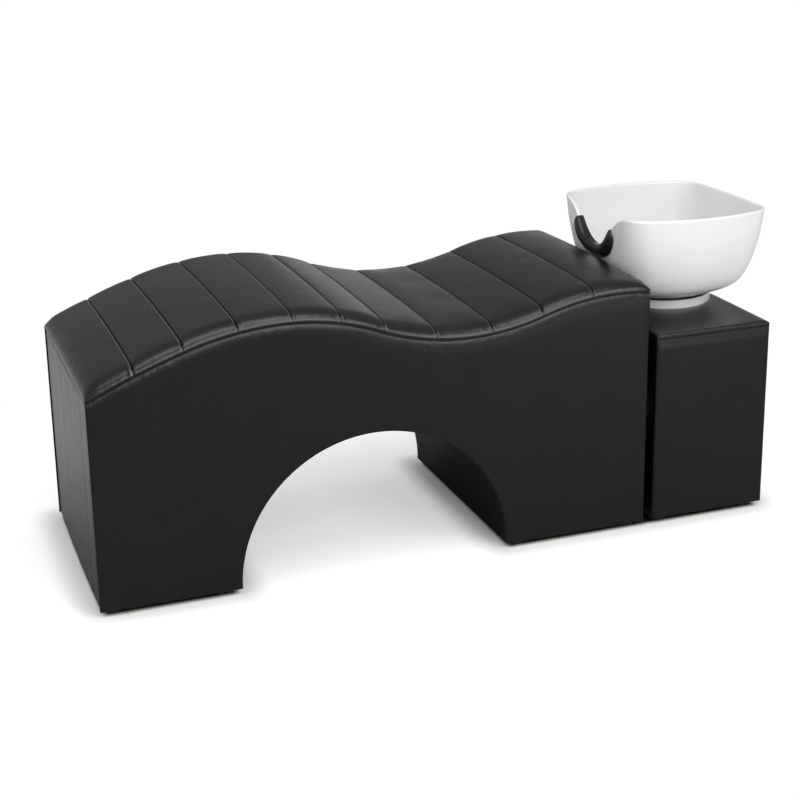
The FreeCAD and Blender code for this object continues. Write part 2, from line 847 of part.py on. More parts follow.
def waste_seat_height():
    """Flat middle of the bowl's underside, where the waste's nut presses."""
    return ball_level(ball_cap_radius * cap_radius_shares[0], 0)


def rest_outline(x):
    """Crescent seen along x: the neck's curve above and a deeper curve below."""
    tip = Vector(x, rest_tip_half_width, rest_tip_height)
    other_tip = Vector(x, -rest_tip_half_width, rest_tip_height)
    upper = Vector(x, 0, notch_bottom_height + rest_top)
    lower = Vector(x, 0, notch_bottom_height - rest_drop)
    return Part.Face(Part.Wire([arc(tip, upper, other_tip), arc(other_tip, lower, tip)]))


def make_neck_rest():
    """Soft crescent that clips over the notch's edge, thicker outside than inside."""
    start = bowl_from_foot - rim_half_length - overrun
    crescent = rest_outline(start).extrude(Vector(rim_half_length / 2, 0, 0))
    outside = outer_core(rest_outside)
    inside = inner_core(bowl_wall + rest_inside)
    body = crescent.common(outside).cut(inside)
    edge = notch_tool(rest_gap)
    grip = outer_core(rest_gap).cut(inner_core(bowl_wall + rest_gap)).cut(edge)
    body = body.cut(grip)
    inner_side = inner_core(bowl_wall)
    for side in (-1, 1):
        y0, y1 = sorted((side * rest_inside_half_width, side * half_width))
        flank = box(start, bowl_from_foot, y0, y1, 0, rim_height).common(inner_side).cut(edge)
        body = body.cut(flank)
    pieces = sorted(body.Solids, key=lambda s: s.Volume)
    save("neck_rest", pieces[-1])


def ring(z0, z1, inner, outer):
    """Upright ring about the bowl's middle."""
    return cylinder(bowl_from_foot, 0, z0, z1, outer).cut(cylinder(bowl_from_foot, 0, z0, z1, inner))


def make_ring_seat():
    """White ring with the rubber gasket that the ball-shaped bottom slides on."""
    save("basin_ring_seat", ring(pedestal_top, ring_top_height, ring_inner_radius, ring_radius))
    gasket_top = ball_level(gasket_inner_radius, 0) - seat_gap
    gasket = prism(bowl_from_foot, 0, ring_top_height, gasket_top, gasket_outer_radius, bowl_flat_count)
    opening = prism(bowl_from_foot, 0, ring_top_height, gasket_top, gasket_inner_radius, bowl_flat_count)
    save("basin_seat_gasket", gasket.cut(opening))


def make_slot_plate():
    """Steel plate whose slot lets the waste travel only fore and aft."""
    front = bowl_from_foot - slot_reach_front
    rear = bowl_from_foot + slot_reach_rear
    half = waste_radius + slot_gap
    edge = half + slot_plate_margin
    plate = box(front - edge, rear + edge, -edge, edge, pedestal_top, pedestal_top + slot_plate)
    save("tilt_slot_plate", plate.cut(slot_shape(front, rear, half, 0, rim_height)))


def make_waste():
    """Flanged waste tube, the two nuts on it and the plate that keeps it in its slot."""
    x = bowl_from_foot
    flange_top = ball_level(waste_flange_radius, bowl_wall)
    body = revolve([
        (waste_bore, tail_bottom_height),
        (tail_radius, tail_bottom_height),
        (tail_radius, waste_bottom_height),
        (waste_radius, waste_bottom_height), (waste_radius, flange_top - waste_flange),
        (waste_flange_radius, flange_top - waste_flange), (waste_flange_radius, flange_top),
        (waste_bore, flange_top),
    ], x)
    save("waste_body", body)
    bore = cylinder(x, 0, 0, rim_height, waste_radius)
    plate_top = pedestal_top - board - retainer_gap
    plate_bottom = plate_top - retainer_plate
    half = retainer_side / 2
    plate = box(x - half, x + half, -half, half, plate_bottom, plate_top)
    save("retaining_plate", plate.cut(bore))
    tops = (waste_seat_height(), plate_bottom)
    nuts = [hexagon(x, top - waste_nut, top, waste_nut_radius).cut(bore) for top in tops]
    save("waste_nuts", Part.makeCompound(nuts))


def make_strainer():
    """Perforated hair strainer with a small knob, which lifts off the waste."""
    x = bowl_from_foot
    bottom = ball_level(waste_flange_radius, bowl_wall) + strainer_seat_gap
    sheet_top = bottom + strainer_sheet
    sheet = cylinder(x, 0, bottom, sheet_top, strainer_radius)
    half = strainer_slot_width / 2
    low = bottom - strainer_sheet
    high = sheet_top + strainer_sheet
    slot = box(strainer_slot_start, strainer_slot_end, -half, half, low, high)
    for i in range(strainer_slot_count):
        turned = slot.rotated(Vector(0, 0, 0), Vector(0, 0, 1), 360 * i / strainer_slot_count)
        sheet = sheet.cut(turned.translated(Vector(x, 0, 0)))
    knob = cylinder(x, 0, bottom, sheet_top + strainer_knob_height, strainer_knob_radius)
    save("hair_strainer", sheet.fuse(knob))


def main():
    os.makedirs("parts", exist_ok=True)
    foot_leg = glide_points(0, arch_from_foot - arch_radius)
    head_leg = glide_points(arch_from_foot + arch_radius, bed_length)
    make_seat()
    make_side_panels()
    make_end_boards()
    make_leg_bases()
    make_battens()
    make_corner_posts()
    make_arch_board()
    make_side_covers()
    make_end_covers()
    make_arch_cover()
    make_glides("bed", foot_leg + head_leg)
    make_glides("pedestal", glide_points(pedestal_start, pedestal_end))
    make_pedestal_boards()
    make_pedestal_covers()
    make_access_panel()
    make_pedestal_pad()
    make_links()
    make_bowl()
    make_neck_rest()
    make_ring_seat()
    make_slot_plate()
    make_waste()
    make_strainer()


main()
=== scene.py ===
import json
import math

import bmesh
import bpy
from mathutils import Matrix, Vector, noise


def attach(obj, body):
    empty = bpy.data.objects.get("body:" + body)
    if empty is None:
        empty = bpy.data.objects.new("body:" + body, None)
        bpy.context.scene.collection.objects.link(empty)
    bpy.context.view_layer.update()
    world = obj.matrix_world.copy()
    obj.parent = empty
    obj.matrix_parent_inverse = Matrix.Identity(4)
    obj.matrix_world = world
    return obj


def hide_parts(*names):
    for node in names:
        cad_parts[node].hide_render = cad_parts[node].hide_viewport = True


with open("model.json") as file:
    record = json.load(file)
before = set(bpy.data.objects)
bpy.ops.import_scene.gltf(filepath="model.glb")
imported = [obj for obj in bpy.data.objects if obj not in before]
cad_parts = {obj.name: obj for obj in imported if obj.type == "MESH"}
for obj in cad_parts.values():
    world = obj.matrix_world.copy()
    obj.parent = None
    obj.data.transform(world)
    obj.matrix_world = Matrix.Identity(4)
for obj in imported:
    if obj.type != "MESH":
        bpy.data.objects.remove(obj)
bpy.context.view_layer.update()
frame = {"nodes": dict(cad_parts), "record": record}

# Looks of a hair washing bed: an upholstered wave-shaped lounger over an arch, and a pedestal with
# a tilting ceramic basin. Lengths are in metres. Forms are worked out with x running from the
# foot-end face, and every mesh is moved by foot_x so that it lies in the frame of the solids.

foot_x = -0.928

# Lounger
bed_length = 1.433
half_width = 0.325
foot_height = 0.538
crest = (0.478, 0.671)
trough = (0.937, 0.582)
pillow = (1.350, 0.650)
head_height = 0.645
foot_slope = 0.47
head_slope = -0.12
ground_gap = 0.014
cover = 0.006
cover_least = 0.0006
inner_half = half_width - cover
arch_radius = 0.347
arch_x = 0.692
arch_z = 0.020
arch_start = arch_x - arch_radius
arch_end = arch_x + arch_radius
arch_lining = 0.0048
lining_lift = 0.0002
lining_ripple = 0.0006

# Seat
seat_height = 0.0235
seat_crown = 0.008
seat_inset = 0.0008
shoulder_reach = 0.048
end_roll = 0.034
seat_rows = 150
seat_step = 0.0055
seat_overhang = 0.004
channel_shares = (0.079, 0.160, 0.251, 0.343, 0.427, 0.503, 0.596, 0.698, 0.792, 0.889)
channels = [bed_length * share for share in channel_shares]
channel_broad_depth = 0.0026
channel_broad_reach = 0.009
channel_crease_depth = 0.0038
channel_crease_reach = 0.0014
channel_slope_reach = 0.0020
channel_span = 0.013
corner_fold = 0.0012
# Place, width and strength of a thin painted highlight at the foot side of each sewn channel
fold_highlight_place = 0.0034
fold_highlight_width = 0.0013
fold_highlight_strength = 0.75

# Sheet that is blown up between the channels
sheet_columns = 180
sheet_rows = 84
sheet_stride = sheet_rows + 1
sheet_steps = 20
sheet_smoothings = 7
sheet_cloth = {
    "quality": 6, "mass": 0.3, "tension_stiffness": 20, "compression_stiffness": 20,
    "shear_stiffness": 8, "bending_stiffness": 3.0, "tension_damping": 20, "compression_damping": 20,
    "shear_damping": 20, "use_pressure": True, "uniform_pressure_force": 2.2, "shrink_min": -0.002,
    "vertex_group_mass": "seams",
}
swell_limit = 0.022
swell_share = 0.5

# Pedestal
pedestal_x = 1.457
pedestal_end = 1.790
pedestal_height = 0.516
pedestal_slab = 0.016
pad_shoulder = 0.008
pad_crown = 0.005
pad_end_roll = 0.026
pad_turns = 240
pad_rings = 40
band_turns = 96
pad_dip = 0.0035
ring_gap = 0.0004
panel_gap = 0.0015

# Edges and seams
edge_round = 0.004
side_low_round = 0.0035
end_top_round = 0.005
end_edge_depth = 0.006
end_edge_reach = 0.011
end_bulge = 0.003
end_ripple = 0.0011
flat_end = 0.0005
seam_band = 0.060
seam_drops = (0.060, 0.053, 0.046, 0.040, 0.035, 0.031, 0.0275, 0.0245, 0.022, 0.0195, 0.0175, 0.0158,
              0.0142, 0.0128, 0.0116, 0.0106, 0.0098, 0.0090, 0.0082, 0.0074, 0.0064, 0.0050, 0.0036,
              0.0024, 0.0014, 0.0006, 0.0)
side_row_shares = (0, 0.001, 0.003, 0.006, 0.010, 0.016, 0.03, 0.06, *(0.1 * i for i in range(1, 10)),
                   0.95)
seam_roll, seam_roll_reach = 0.0066, 0.015
side_bulge, side_bulge_reach = 0.0022, 0.12
bulge_margin = 0.03
strip_drop, strip_width, strip_height = 0.0046, 0.0024, 0.0006
stitch_drop = 0.009
stitch_groove = 0.0012
stitch_sizes = {"Pitch": 0.0062, "Length": 0.0042, "Radius": 0.00055}
stitch_lift = 0.0004

# Puckers: strength, spacing and reach from the seam
seat_side_pucker = (0.0010, 0.008, 0.013)
seat_end_pucker = (0.0006, 0.010, 0.010)
side_pucker = (0.0013, 0.0075, 0.012)
pad_pucker = (0.0006, 0.011, 0.016)

# Grid steps: the widest, the finest, and how far the finest reach in from both ends
length_steps = (0.004, 0.001, 0.012)
width_steps = (0.008, 0.0012, 0.012)
height_steps = (0.010, 0.0014, 0.012)

# Basin
bowl_x = 1.643
rim_height = 0.795
rim_half = (0.213, 0.247)
rim_corner = 0.070
rim_bulge = (0.004, 0.023)
bowl_wall = 0.011
ball_radius = 0.345
ball_height = 0.871
cap_radius = 0.165
cap_corner = 0.160
cap_bulge = 0.001
growth_table = ((0.0, 0.0), (0.03, 0.22), (0.08, 0.39), (0.16, 0.53), (0.28, 0.66), (0.46, 0.79),
                (0.70, 0.91), (1.0, 1.0))
growth_end = rim_height - 0.005
notch_radius = 0.100
notch_depth = 0.112
flare_radius = 0.110
waste_hole = 0.025
waste_recess = 0.037
bowl_columns = 400
rim_samples = 7200
cap_steps = 16
wall_steps = 40
lip_steps = 12

# Neck rest: how far its lips reach down, out and up from the notch's edge
rest_tip = 0.097
rest_drop = 0.0245
rest_drop_inside = 0.013
rest_out = 0.0098
rest_in = 0.0070
rest_rise = 0.0100
rest_gap = 0.0006
rest_stations = 72
lobe_drop = 0.008
lobe_out = 0.006

# Ring under the bowl
ring_inner = 0.121
ring_outer = 0.135
ring_top = 0.547
ring_bottom = 0.500
ring_round = 0.003
ring_bevel = 0.001
ring_turns = 144

glide_sizes = {"Radius": 0.020, "Height": ground_gap}
glide_inset = 0.036
glide_taper = 0.9

# Studio
floor_size = 40
# Glow of the floor seen by the camera: full away from the legs, weaker at them as painted shade
floor_lift = 0.42
floor_lift_in_painted_shade = 0.08
painted_shade_reach = 0.09
floor_white = (0.25, 1.0)
# Floor tone for mirrored rays, darker at the front and paler at the back over this depth: a painted
# reflection
floor_mirrored = (0.28, 0.74)
floor_mirrored_depth = (-0.4, 1.2)
# How far in under the legs' edges a dark painted shadow is laid on the floor
painted_shadow_inset = 0.024
sky_diffuse = 0.62
sky_glossy = 0.27
lamps = (
    # name, place, aim, size, power
    ("soft_top", (-0.5, -0.9, 3.2), (-0.2, -0.1, 0.4), (3.0, 1.5), 34),
    ("soft_front", (0.8, -3.8, 2.6), (0.1, 0.0, 0.5), (4.2, 2.4), 98),
    ("low_front", (1.9, -2.9, 0.30), (0.75, 0.0, 0.62), (1.6, 0.5), 3.5),
    ("small_left", (-1.3, -2.7, 2.4), (0.7, 0.0, 0.7), (0.22, 0.22), 4),
    ("small_high", (0.1, -1.9, 3.1), (0.7, 0.0, 0.7), (0.20, 0.20), 4),
    ("soft_left", (-4.0, 0.3, 1.6), (-0.9, 0.0, 0.3), (1.6, 1.2), 14),
    ("low_backdrop", (5.0, 7.0, 1.1), (0.6, 0.0, 0.6), (6.0, 2.0), 13),
)
camera_place = (-1.3991, -3.7257, 1.7126)
camera_lens = 71.11
camera_shift = -0.1
camera_turns = (0.3466, 0.2873, -0.0152)


# The wave of the seat's seam, as smooth arcs through its stations

def arc_centre(point, slope, other):
    across = Vector((-slope, 1)).normalized()
    chord = other - point
    return point + across * (chord.dot(chord) / (2 * across.dot(chord)))


def wave_arcs():
    knots = [(0.0, foot_height, foot_slope), (*crest, 0.0), (*trough, 0.0), (*pillow, 0.0),
             (bed_length, head_height, head_slope)]
    arcs = []
    for (x0, z0, s0), (x1, z1, s1) in zip(knots, knots[1:]):
        start, end = Vector((x0, z0)), Vector((x1, z1))
        leave, arrive = Vector((1, s0)).normalized(), Vector((1, s1)).normalized()
        chord = end - start
        both = leave + arrive
        along = chord.dot(both)
        spread = 4 - both.dot(both)
        reach = chord.dot(chord) / (along + math.sqrt(along ** 2 + spread * chord.dot(chord)))
        joint = (start + end + (leave - arrive) * reach) / 2
        arcs.append((joint.x, arc_centre(start, s0, joint), start))
        arcs.append((x1, arc_centre(end, s1, joint), end))
    return arcs


seam_arcs = wave_arcs()


def wave(x):
    for x1, centre, point in seam_arcs:
        if x <= x1 + 1e-9 or x1 == bed_length:
            up = math.sqrt(max((point - centre).length_squared - (x - centre.x) ** 2, 0))
            return centre.y + math.copysign(up, point.y - centre.y)


# Mesh helpers

def place(x, y, z):
    return (x + foot_x, y, z)


def steps(low, high, count):
    """Even stations from low to high."""
    return [low + (high - low) * i / count for i in range(count + 1)]


def graded(start, end, step, fine, reach):
    """Stations from start to end, closer together near both ends."""
    stations = [start]
    here = start
    while here < end:
        near = min(here - start, end - here)
        here += fine if near < reach else step
        stations.append(min(here, end))
    if len(stations) > 2 and stations[-1] - stations[-2] < fine / 2:
        stations.pop(-2)
    return stations


def grid_faces(rows, columns, start=0, round_rows=False, round_columns=False, turned=False):
    """Faces of a grid of points numbered row by row, which may close on itself either way."""
    faces = []
    for i in range(rows if round_rows else rows - 1):
        near, far = start + i * columns, start + (i + 1) % rows * columns
        for j in range(columns if round_columns else columns - 1):
            k = (j + 1) % columns
            a, b, c, d = near + j, near + k, far + k, far + j
            faces.append((a, d, c, b) if turned else (a, b, c, d))
    return faces


def joined(grid):
    return [point for row in grid for point in row]


def add_object(name, data):
    thing = bpy.data.objects.new(name, data)
    bpy.context.scene.collection.objects.link(thing)
    return thing


def mesh_object(name, verts, faces, material, angle=None):
    """Piece from points and faces, shaded smooth up to an angle between faces, or flat."""
    mesh = bpy.data.meshes.new(name)
    mesh.from_pydata(verts, [], faces)
    work = bmesh.new()
    work.from_mesh(mesh)
    bmesh.ops.remove_doubles(work, verts=work.verts, dist=1e-6)
    bmesh.ops.recalc_face_normals(work, faces=work.faces)
    work.to_mesh(mesh)
    work.free()
    mesh.polygons.foreach_set("use_smooth", [angle is not None] * len(mesh.polygons))
    if angle is not None:
        mesh.set_sharp_from_angle(angle=math.radians(angle))
    mesh.materials.append(material)
    return add_object(name, mesh)


def finish_piece(piece, *nodes, body="root", slot="black_leatherette", fill=None):
    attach(piece, body)
    if nodes:
        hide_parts(*nodes)


def rounding(distance, radius=edge_round):
    """How far a rounded edge draws the face in at a distance from it."""
    if distance >= radius:
        return 0.0
    short = radius - max(distance, 0.0)
    return radius - math.sqrt(max(radius ** 2 - short ** 2, 0))


def end_rounding(distance, depth=end_edge_depth):
    """Soft upright edge of a cover: its roll reaches further along the face than into it."""
    return rounding(distance * depth / end_edge_reach, depth)


def risen(inset, reach):
    """Share of its full height that a rounded end has at a distance in from it."""
    if inset >= reach:
        return 1.0
    return math.sqrt(max(1 - (1 - inset / reach) ** 2, 0.0))


def groove(distance, width, depth):
    return depth * math.exp(-(distance / width) ** 2)


def blend(start, end, share):
    return start + (end - start) * share


def pucker(x, from_seam, strength, spacing, reach):
    """Small folds that a seam pulls into the leather beside it."""
    wobble = noise.noise(Vector((x / spacing, from_seam / 0.05, 4.7)))
    fine = noise.noise(Vector((x / (spacing * 0.45), from_seam / 0.02, 9.1)))
    return strength * (wobble + 0.5 * fine) * math.exp(-from_seam / reach)


# Node helpers

def feed(tree, node, inputs):
    """Gives each input a value, or a link from another node's output."""
    for key, value in inputs.items():
        if isinstance(value, bpy.types.NodeSocket):
            tree.links.new(value, node.inputs[key])
        else:
            node.inputs[key].default_value = value


def add_node(tree, kind, inputs=None, **settings):
    node = tree.nodes.new(kind)
    for name, value in settings.items():
        setattr(node, name, value)
    feed(tree, node, inputs or {})
    return node


def math_node(tree, operation, *values):
    return add_node(tree, "ShaderNodeMath", dict(enumerate(values)), operation=operation).outputs[0]


def vector_node(tree, operation, *values, result="Vector"):
    inputs = dict(enumerate(values))
    return add_node(tree, "ShaderNodeVectorMath", inputs, operation=operation).outputs[result]


def span(tree, value, low, high, start=0.0, end=1.0, interpolation="LINEAR"):
    """Turns a value between start and end into one between low and high."""
    inputs = {"Value": value, "From Min": start, "From Max": end, "To Min": low, "To Max": high}
    node = add_node(tree, "ShaderNodeMapRange", inputs, interpolation_type=interpolation)
    return node.outputs["Result"]


def fade(tree, value, start, end, low, high):
    return span(tree, value, low, high, start, end, "SMOOTHSTEP")


def ramp(tree, factor, low, high, start=0.3, end=0.7):
    node = add_node(tree, "ShaderNodeValToRGB", {"Fac": factor})
    for element, position, colour in zip(node.color_ramp.elements, (start, end), (low, high)):
        element.position = position
        element.color = (*colour, 1)
    return node.outputs["Color"]


def cloud(tree, where, scale, detail=3.0, roughness=0.5):
    inputs = {"Vector": where, "Scale": scale, "Detail": detail, "Roughness": roughness}
    return add_node(tree, "ShaderNodeTexNoise", inputs).outputs["Fac"]


def bumps(tree, *layers):
    """Lays bumps over one another; each has a height, a strength and a distance."""
    normal = None
    for height, strength, distance in layers:
        inputs = {"Height": height, "Strength": strength, "Distance": distance}
        if normal is not None:
            inputs["Normal"] = normal
        normal = add_node(tree, "ShaderNodeBump", inputs).outputs["Normal"]
    return normal


# Materials

def grey(value):
    return (value, value, value)


def new_material(name, scale=(1, 1, 1)):
    """A new material with its tree, its shader and the piece's own coordinates."""
    material = bpy.data.materials.new(name)
    material.use_nodes = True
    tree = material.node_tree
    where = add_node(tree, "ShaderNodeTexCoord").outputs["Object"]
    where = add_node(tree, "ShaderNodeMapping", {"Vector": where, "Scale": scale}).outputs["Vector"]
    return material, tree, tree.nodes["Principled BSDF"], where


def leather_material(name, tone=0.0032, rough=(0.28, 0.35), specular=0.50, folds=False):
    """Black synthetic leather, pebbled and softly rippled; with folds, a painted highlight makes it
    paler at the foot side of each sewn channel.
    """
    material, tree, shader, where = new_material(name)
    dark = (tone * 0.85, tone * 0.85, tone * 0.9)
    light = (tone * 1.2, tone * 1.2, tone * 1.25)
    base = ramp(tree, cloud(tree, where, 14, 4), dark, light)
    if folds:
        # Painted highlight: a thin, patchy paler line at the foot side of each sewn channel
        highlight_mask = add_node(tree, "ShaderNodeAttribute", attribute_name="painted_fold_highlight").outputs["Fac"]
        patchy_highlight = math_node(tree, "MULTIPLY", cloud(tree, where, 35, 3), fold_highlight_strength)
        share = math_node(tree, "MULTIPLY", highlight_mask, patchy_highlight)
        inputs = {"Factor": share, "A": base, "B": (0.20, 0.20, 0.205, 1)}
        base = add_node(tree, "ShaderNodeMix", inputs, data_type="RGBA").outputs["Result"]
    inputs = {"Vector": where, "Scale": 620, "Randomness": 0.9}
    pebbles = add_node(tree, "ShaderNodeTexVoronoi", inputs, feature="SMOOTH_F1").outputs["Distance"]
    feed(tree, shader, {
        "Base Color": base,
        "Roughness": span(tree, cloud(tree, where, 60, 5), *rough),
        "Specular IOR Level": specular,
        "Normal": bumps(tree, (pebbles, 0.16, 0.0005), (cloud(tree, where, 190, 3), 0.26, 0.0010),
                        (cloud(tree, where, 22, 2), 0.10, 0.004)),
    })
    return material


def ceramic_material():
    material, tree, shader, where = new_material("white_ceramic_glaze")
    feed(tree, shader, {
        "Base Color": ramp(tree, cloud(tree, where, 7, 3), (0.69, 0.69, 0.695), grey(0.72)),
        "Roughness": span(tree, cloud(tree, where, 18, 3), 0.10, 0.17),
        "Specular IOR Level": 0.45,
        "Coat Weight": 0.3,
        "Coat Roughness": 0.04,
        "Normal": bumps(tree, (cloud(tree, where, 9, 2), 0.05, 0.004)),
    })
    return material


def plain_material(name, low, high, rough, scale, bump_scale, bump_strength, metallic=0.0):
    """A finish with slow colour change, uneven gloss and a fine surface."""
    material, tree, shader, where = new_material(name)
    feed(tree, shader, {
        "Base Color": ramp(tree, cloud(tree, where, scale, 4), low, high),
        "Roughness": span(tree, cloud(tree, where, scale * 3, 3), *rough),
        "Metallic": metallic,
        "Normal": bumps(tree, (cloud(tree, where, bump_scale, 3), bump_strength, 0.0006)),
    })
    return material


def plywood_material():
    material, tree, shader, where = new_material("birch_plywood", (3, 40, 40))
    grain = cloud(tree, where, 3.0, 8, 0.6)
    feed(tree, shader, {
        "Base Color": ramp(tree, grain, (0.42, 0.29, 0.17), (0.62, 0.47, 0.30)),
        "Roughness": span(tree, grain, 0.55, 0.75),
        "Normal": bumps(tree, (grain, 0.2, 0.0006)),
    })
    return material


# One black leather in three tones: the seat and pad's paler tone is painted light on the top faces,
# the plain leather's darker tone painted shade on the sides and ends, and the arch's darkest tone
# painted shade inside the arch; gloss and roughness differ too
leather = leather_material("black_leatherette")
seat_leather = leather_material("black_leatherette_seat", 0.0058, (0.27, 0.34), 0.58, folds=True)
arch_leather = leather_material("black_leatherette_arch", 0.0022, (0.40, 0.50), 0.20)
plain_finishes = {
    # slot: material, darkest and palest colour, roughness, cloud scale, grain scale and strength,
    # and metallic
    "white_ring": ("white_ring_moulding", (0.78, 0.78, 0.785), grey(0.82), (0.2, 0.3), 8, 90, 0.05),
    "neck_rest_rubber": ("black_rest_rubber", grey(0.009), grey(0.015), (0.22, 0.32), 20, 420, 0.08),
    "seal_rubber": ("seal_rubber", grey(0.02), grey(0.035), (0.6, 0.75), 30, 500, 0.15),
    "black_glide": ("black_glide_plastic", grey(0.010), grey(0.018), (0.45, 0.6), 60, 700, 0.12),
    "thread": ("black_thread", grey(0.010), grey(0.018), (0.4, 0.55), 300, 2500, 0.5),
    "zinc_steel": ("zinc_plated_steel", (0.50, 0.51, 0.52), (0.64, 0.65, 0.66), (0.32, 0.48), 40, 300,
                   0.08, 1.0),
    "waste_chrome": ("waste_chrome", (0.72, 0.72, 0.73), grey(0.82), (0.05, 0.12), 20, 160, 0.02, 1.0),
    "pipe_plastic": ("white_pipe_plastic", grey(0.66), grey(0.75), (0.35, 0.45), 20, 260, 0.05),
    "catch_plastic": ("brown_catch_plastic", (0.12, 0.07, 0.04), (0.19, 0.11, 0.06), (0.4, 0.55), 40,
                      400, 0.08),
    "foam": ("upholstery_foam", (0.60, 0.55, 0.36), (0.74, 0.69, 0.48), (0.85, 0.95), 60, 900, 0.6),
}
finishes = {slot: plain_material(*values) for slot, values in plain_finishes.items()}
finishes["black_leatherette"] = leather
finishes["white_ceramic"] = ceramic_material()
finishes["plywood"] = plywood_material()

for part in frame["record"]["subparts"]:
    node = frame["nodes"][part["node"]]
    node.data.materials.clear()
    node.data.materials.append(finishes[part["material_slot"]])


# Seat cushion

def seat_point(x, across, lift=1.0):
    """Point of the seat; across runs from -1 at the near seam to 1 at the far one."""
    share = max(risen(min(x, bed_length - x), end_roll), 0.02) * lift
    half = half_width - seat_inset
    from_seam = (1 - abs(across)) * half
    short = 1 - min(from_seam / shoulder_reach, 1.0)
    rise = seat_height * (1 - short ** 2.3) ** (1 / 1.7) + seat_crown * (1 - across ** 2)
    return Vector((x, math.copysign(half - from_seam, across), wave(x) + rise * share))


def seat_normal(x, across):
    ahead = seat_point(min(x + 0.002, bed_length), across) - seat_point(max(x - 0.002, 0), across)
    side = seat_point(x, min(across + 0.004, 1)) - seat_point(x, max(across - 0.004, -1))
    return ahead.cross(side).normalized()


def channel_depth_at(x, across):
    """Depth of the sewn channels: a broad dip with a narrow crease, fading at the side seams."""
    depth = 0.0
    fade_out = min(1.0, (1 - abs(across)) / 0.035)
    for channel in channels:
        away = abs(x - channel)
        if away < 5 * channel_broad_reach:
            depth += channel_broad_depth * math.exp(-away / channel_broad_reach) * fade_out
            reach = channel_slope_reach if x < channel else channel_crease_reach
            depth += groove(away, reach, channel_crease_depth) * fade_out
    return depth


def smoothed(moved):
    """Evens out the sheet's movement between neighbours, as taut leather does."""
    result = list(moved)
    for i in range(1, sheet_columns):
        for j in range(1, sheet_rows):
            k = i * sheet_stride + j
            beside = moved[k - 1] + moved[k + 1]
            along = moved[k - sheet_stride] + moved[k + sheet_stride]
            result[k] = moved[k] * 0.5 + beside * 0.19 + along * 0.06
    return result


def simulate_swell():
    """Blows up the seat's sheet between its seams, and gives back how far each point moved."""
    start = [seat_point(x, across, 0.9) for x in steps(0, bed_length, sheet_columns)
             for across in steps(-1, 1, sheet_rows)]
    mesh = bpy.data.meshes.new("seat_sheet")
    mesh.from_pydata(start, [], grid_faces(sheet_columns + 1, sheet_stride, turned=True))
    sheet = add_object("seat_sheet", mesh)
    pins = sheet.vertex_groups.new(name="seams")
    column_step = bed_length / sheet_columns
    for i in range(sheet_columns + 1):
        sewn = any(abs(i * column_step - channel) <= column_step / 2 for channel in channels)
        whole = sewn or i in (0, sheet_columns)
        rows = range(sheet_stride) if whole else (0, sheet_rows)
        pins.add([i * sheet_stride + j for j in rows], 1.0, "REPLACE")
    cloth = sheet.modifiers.new("swell", "CLOTH")
    for name, value in sheet_cloth.items():
        setattr(cloth.settings, name, value)
    cloth.settings.effector_weights.gravity = 0
    cloth.collision_settings.use_collision = False
    for step in range(1, sheet_steps + 1):
        bpy.context.scene.frame_set(step)
    evaluated = sheet.evaluated_get(bpy.context.evaluated_depsgraph_get())
    moved = [vertex.co - point for vertex, point in zip(evaluated.data.vertices, start)]
    bpy.data.objects.remove(sheet)
    bpy.data.meshes.remove(mesh)
    bpy.context.scene.frame_set(1)
    for _ in range(sheet_smoothings):
        moved = smoothed(moved)
    return [step * (min(swell_limit / max(step.length, 1e-9), 1.0) * swell_share) for step in moved]


def swell_between(swell, x, across):
    """Movement of the simulated sheet at any point, from its four nearest points."""
    u = min(max(x / bed_length, 0), 1) * sheet_columns
    v = min(max((across + 1) / 2, 0), 1) * sheet_rows
    i, j = min(int(u), sheet_columns - 1), min(int(v), sheet_rows - 1)
    fu, fv = u - i, v - j
    k = i * sheet_stride + j
    near = swell[k] * (1 - fv) + swell[k + 1] * fv
    far = swell[k + sheet_stride] * (1 - fv) + swell[k + sheet_stride + 1] * fv
    return near * (1 - fu) + far * fu


def seat_columns():
    """Stations along the seat, close together at the channels and ends."""
    stations = {0.0, bed_length}
    for i in range(1, 9):
        inset = end_roll * (i / 9) ** 2
        stations |= {inset, bed_length - inset}
    for channel in channels:
        for i in range(-8, 9):
            stations.add(channel + math.copysign((abs(i) / 8) ** 1.5 * channel_span, i))
    marks = [end_roll, *channels, bed_length - end_roll]
    for a, b in zip(marks, marks[1:]):
        low = a + (channel_span if a in channels else 0)
        high = b - (channel_span if b in channels else 0)
        stations.update(steps(low, high, max(int((high - low) / seat_step), 2)))
    return sorted(stations)


def seat_skin(swell, x, across):
    """Point of the finished leather: swollen, with its channels and its folds at the seams."""
    from_seam = (1 - abs(across)) * half_width
    from_end = min(x, bed_length - x)
    rise = pucker(x * (1 if across < 0 else 1.3), from_seam, *seat_side_pucker)
    rise += pucker(across * half_width, from_end, *seat_end_pucker)
    for channel in channels:
        away = abs(x - channel)
        if away < 0.03:
            rise += groove(from_seam - 0.010, 0.011, corner_fold) * groove(away - 0.006, 0.0035, 1)
    rise -= channel_depth_at(x, across)
    point = seat_point(x, across, 0.93) + swell_between(swell, x, across)
    point += seat_normal(x, across) * (rise * min(from_seam / 0.003, from_end / 0.003, 1.0))
    side_limit = half_width + seat_overhang
    return place(point.x, max(min(point.y, side_limit), -side_limit), point.z)


def mark_fold_highlights(piece):
    """Marks the foot side of every sewn channel, where a thin highlight is painted into the leather's
    colour.
    """
    xs = [vertex.co.x - foot_x for vertex in piece.data.vertices]
    aways = [min(abs(x - channel + fold_highlight_place) for channel in channels) for x in xs]
    shares = [groove(away, fold_highlight_width, 1) for away in aways]
    marks = piece.data.attributes.new("painted_fold_highlight", "FLOAT", "POINT")
    marks.data.foreach_set("value", shares)


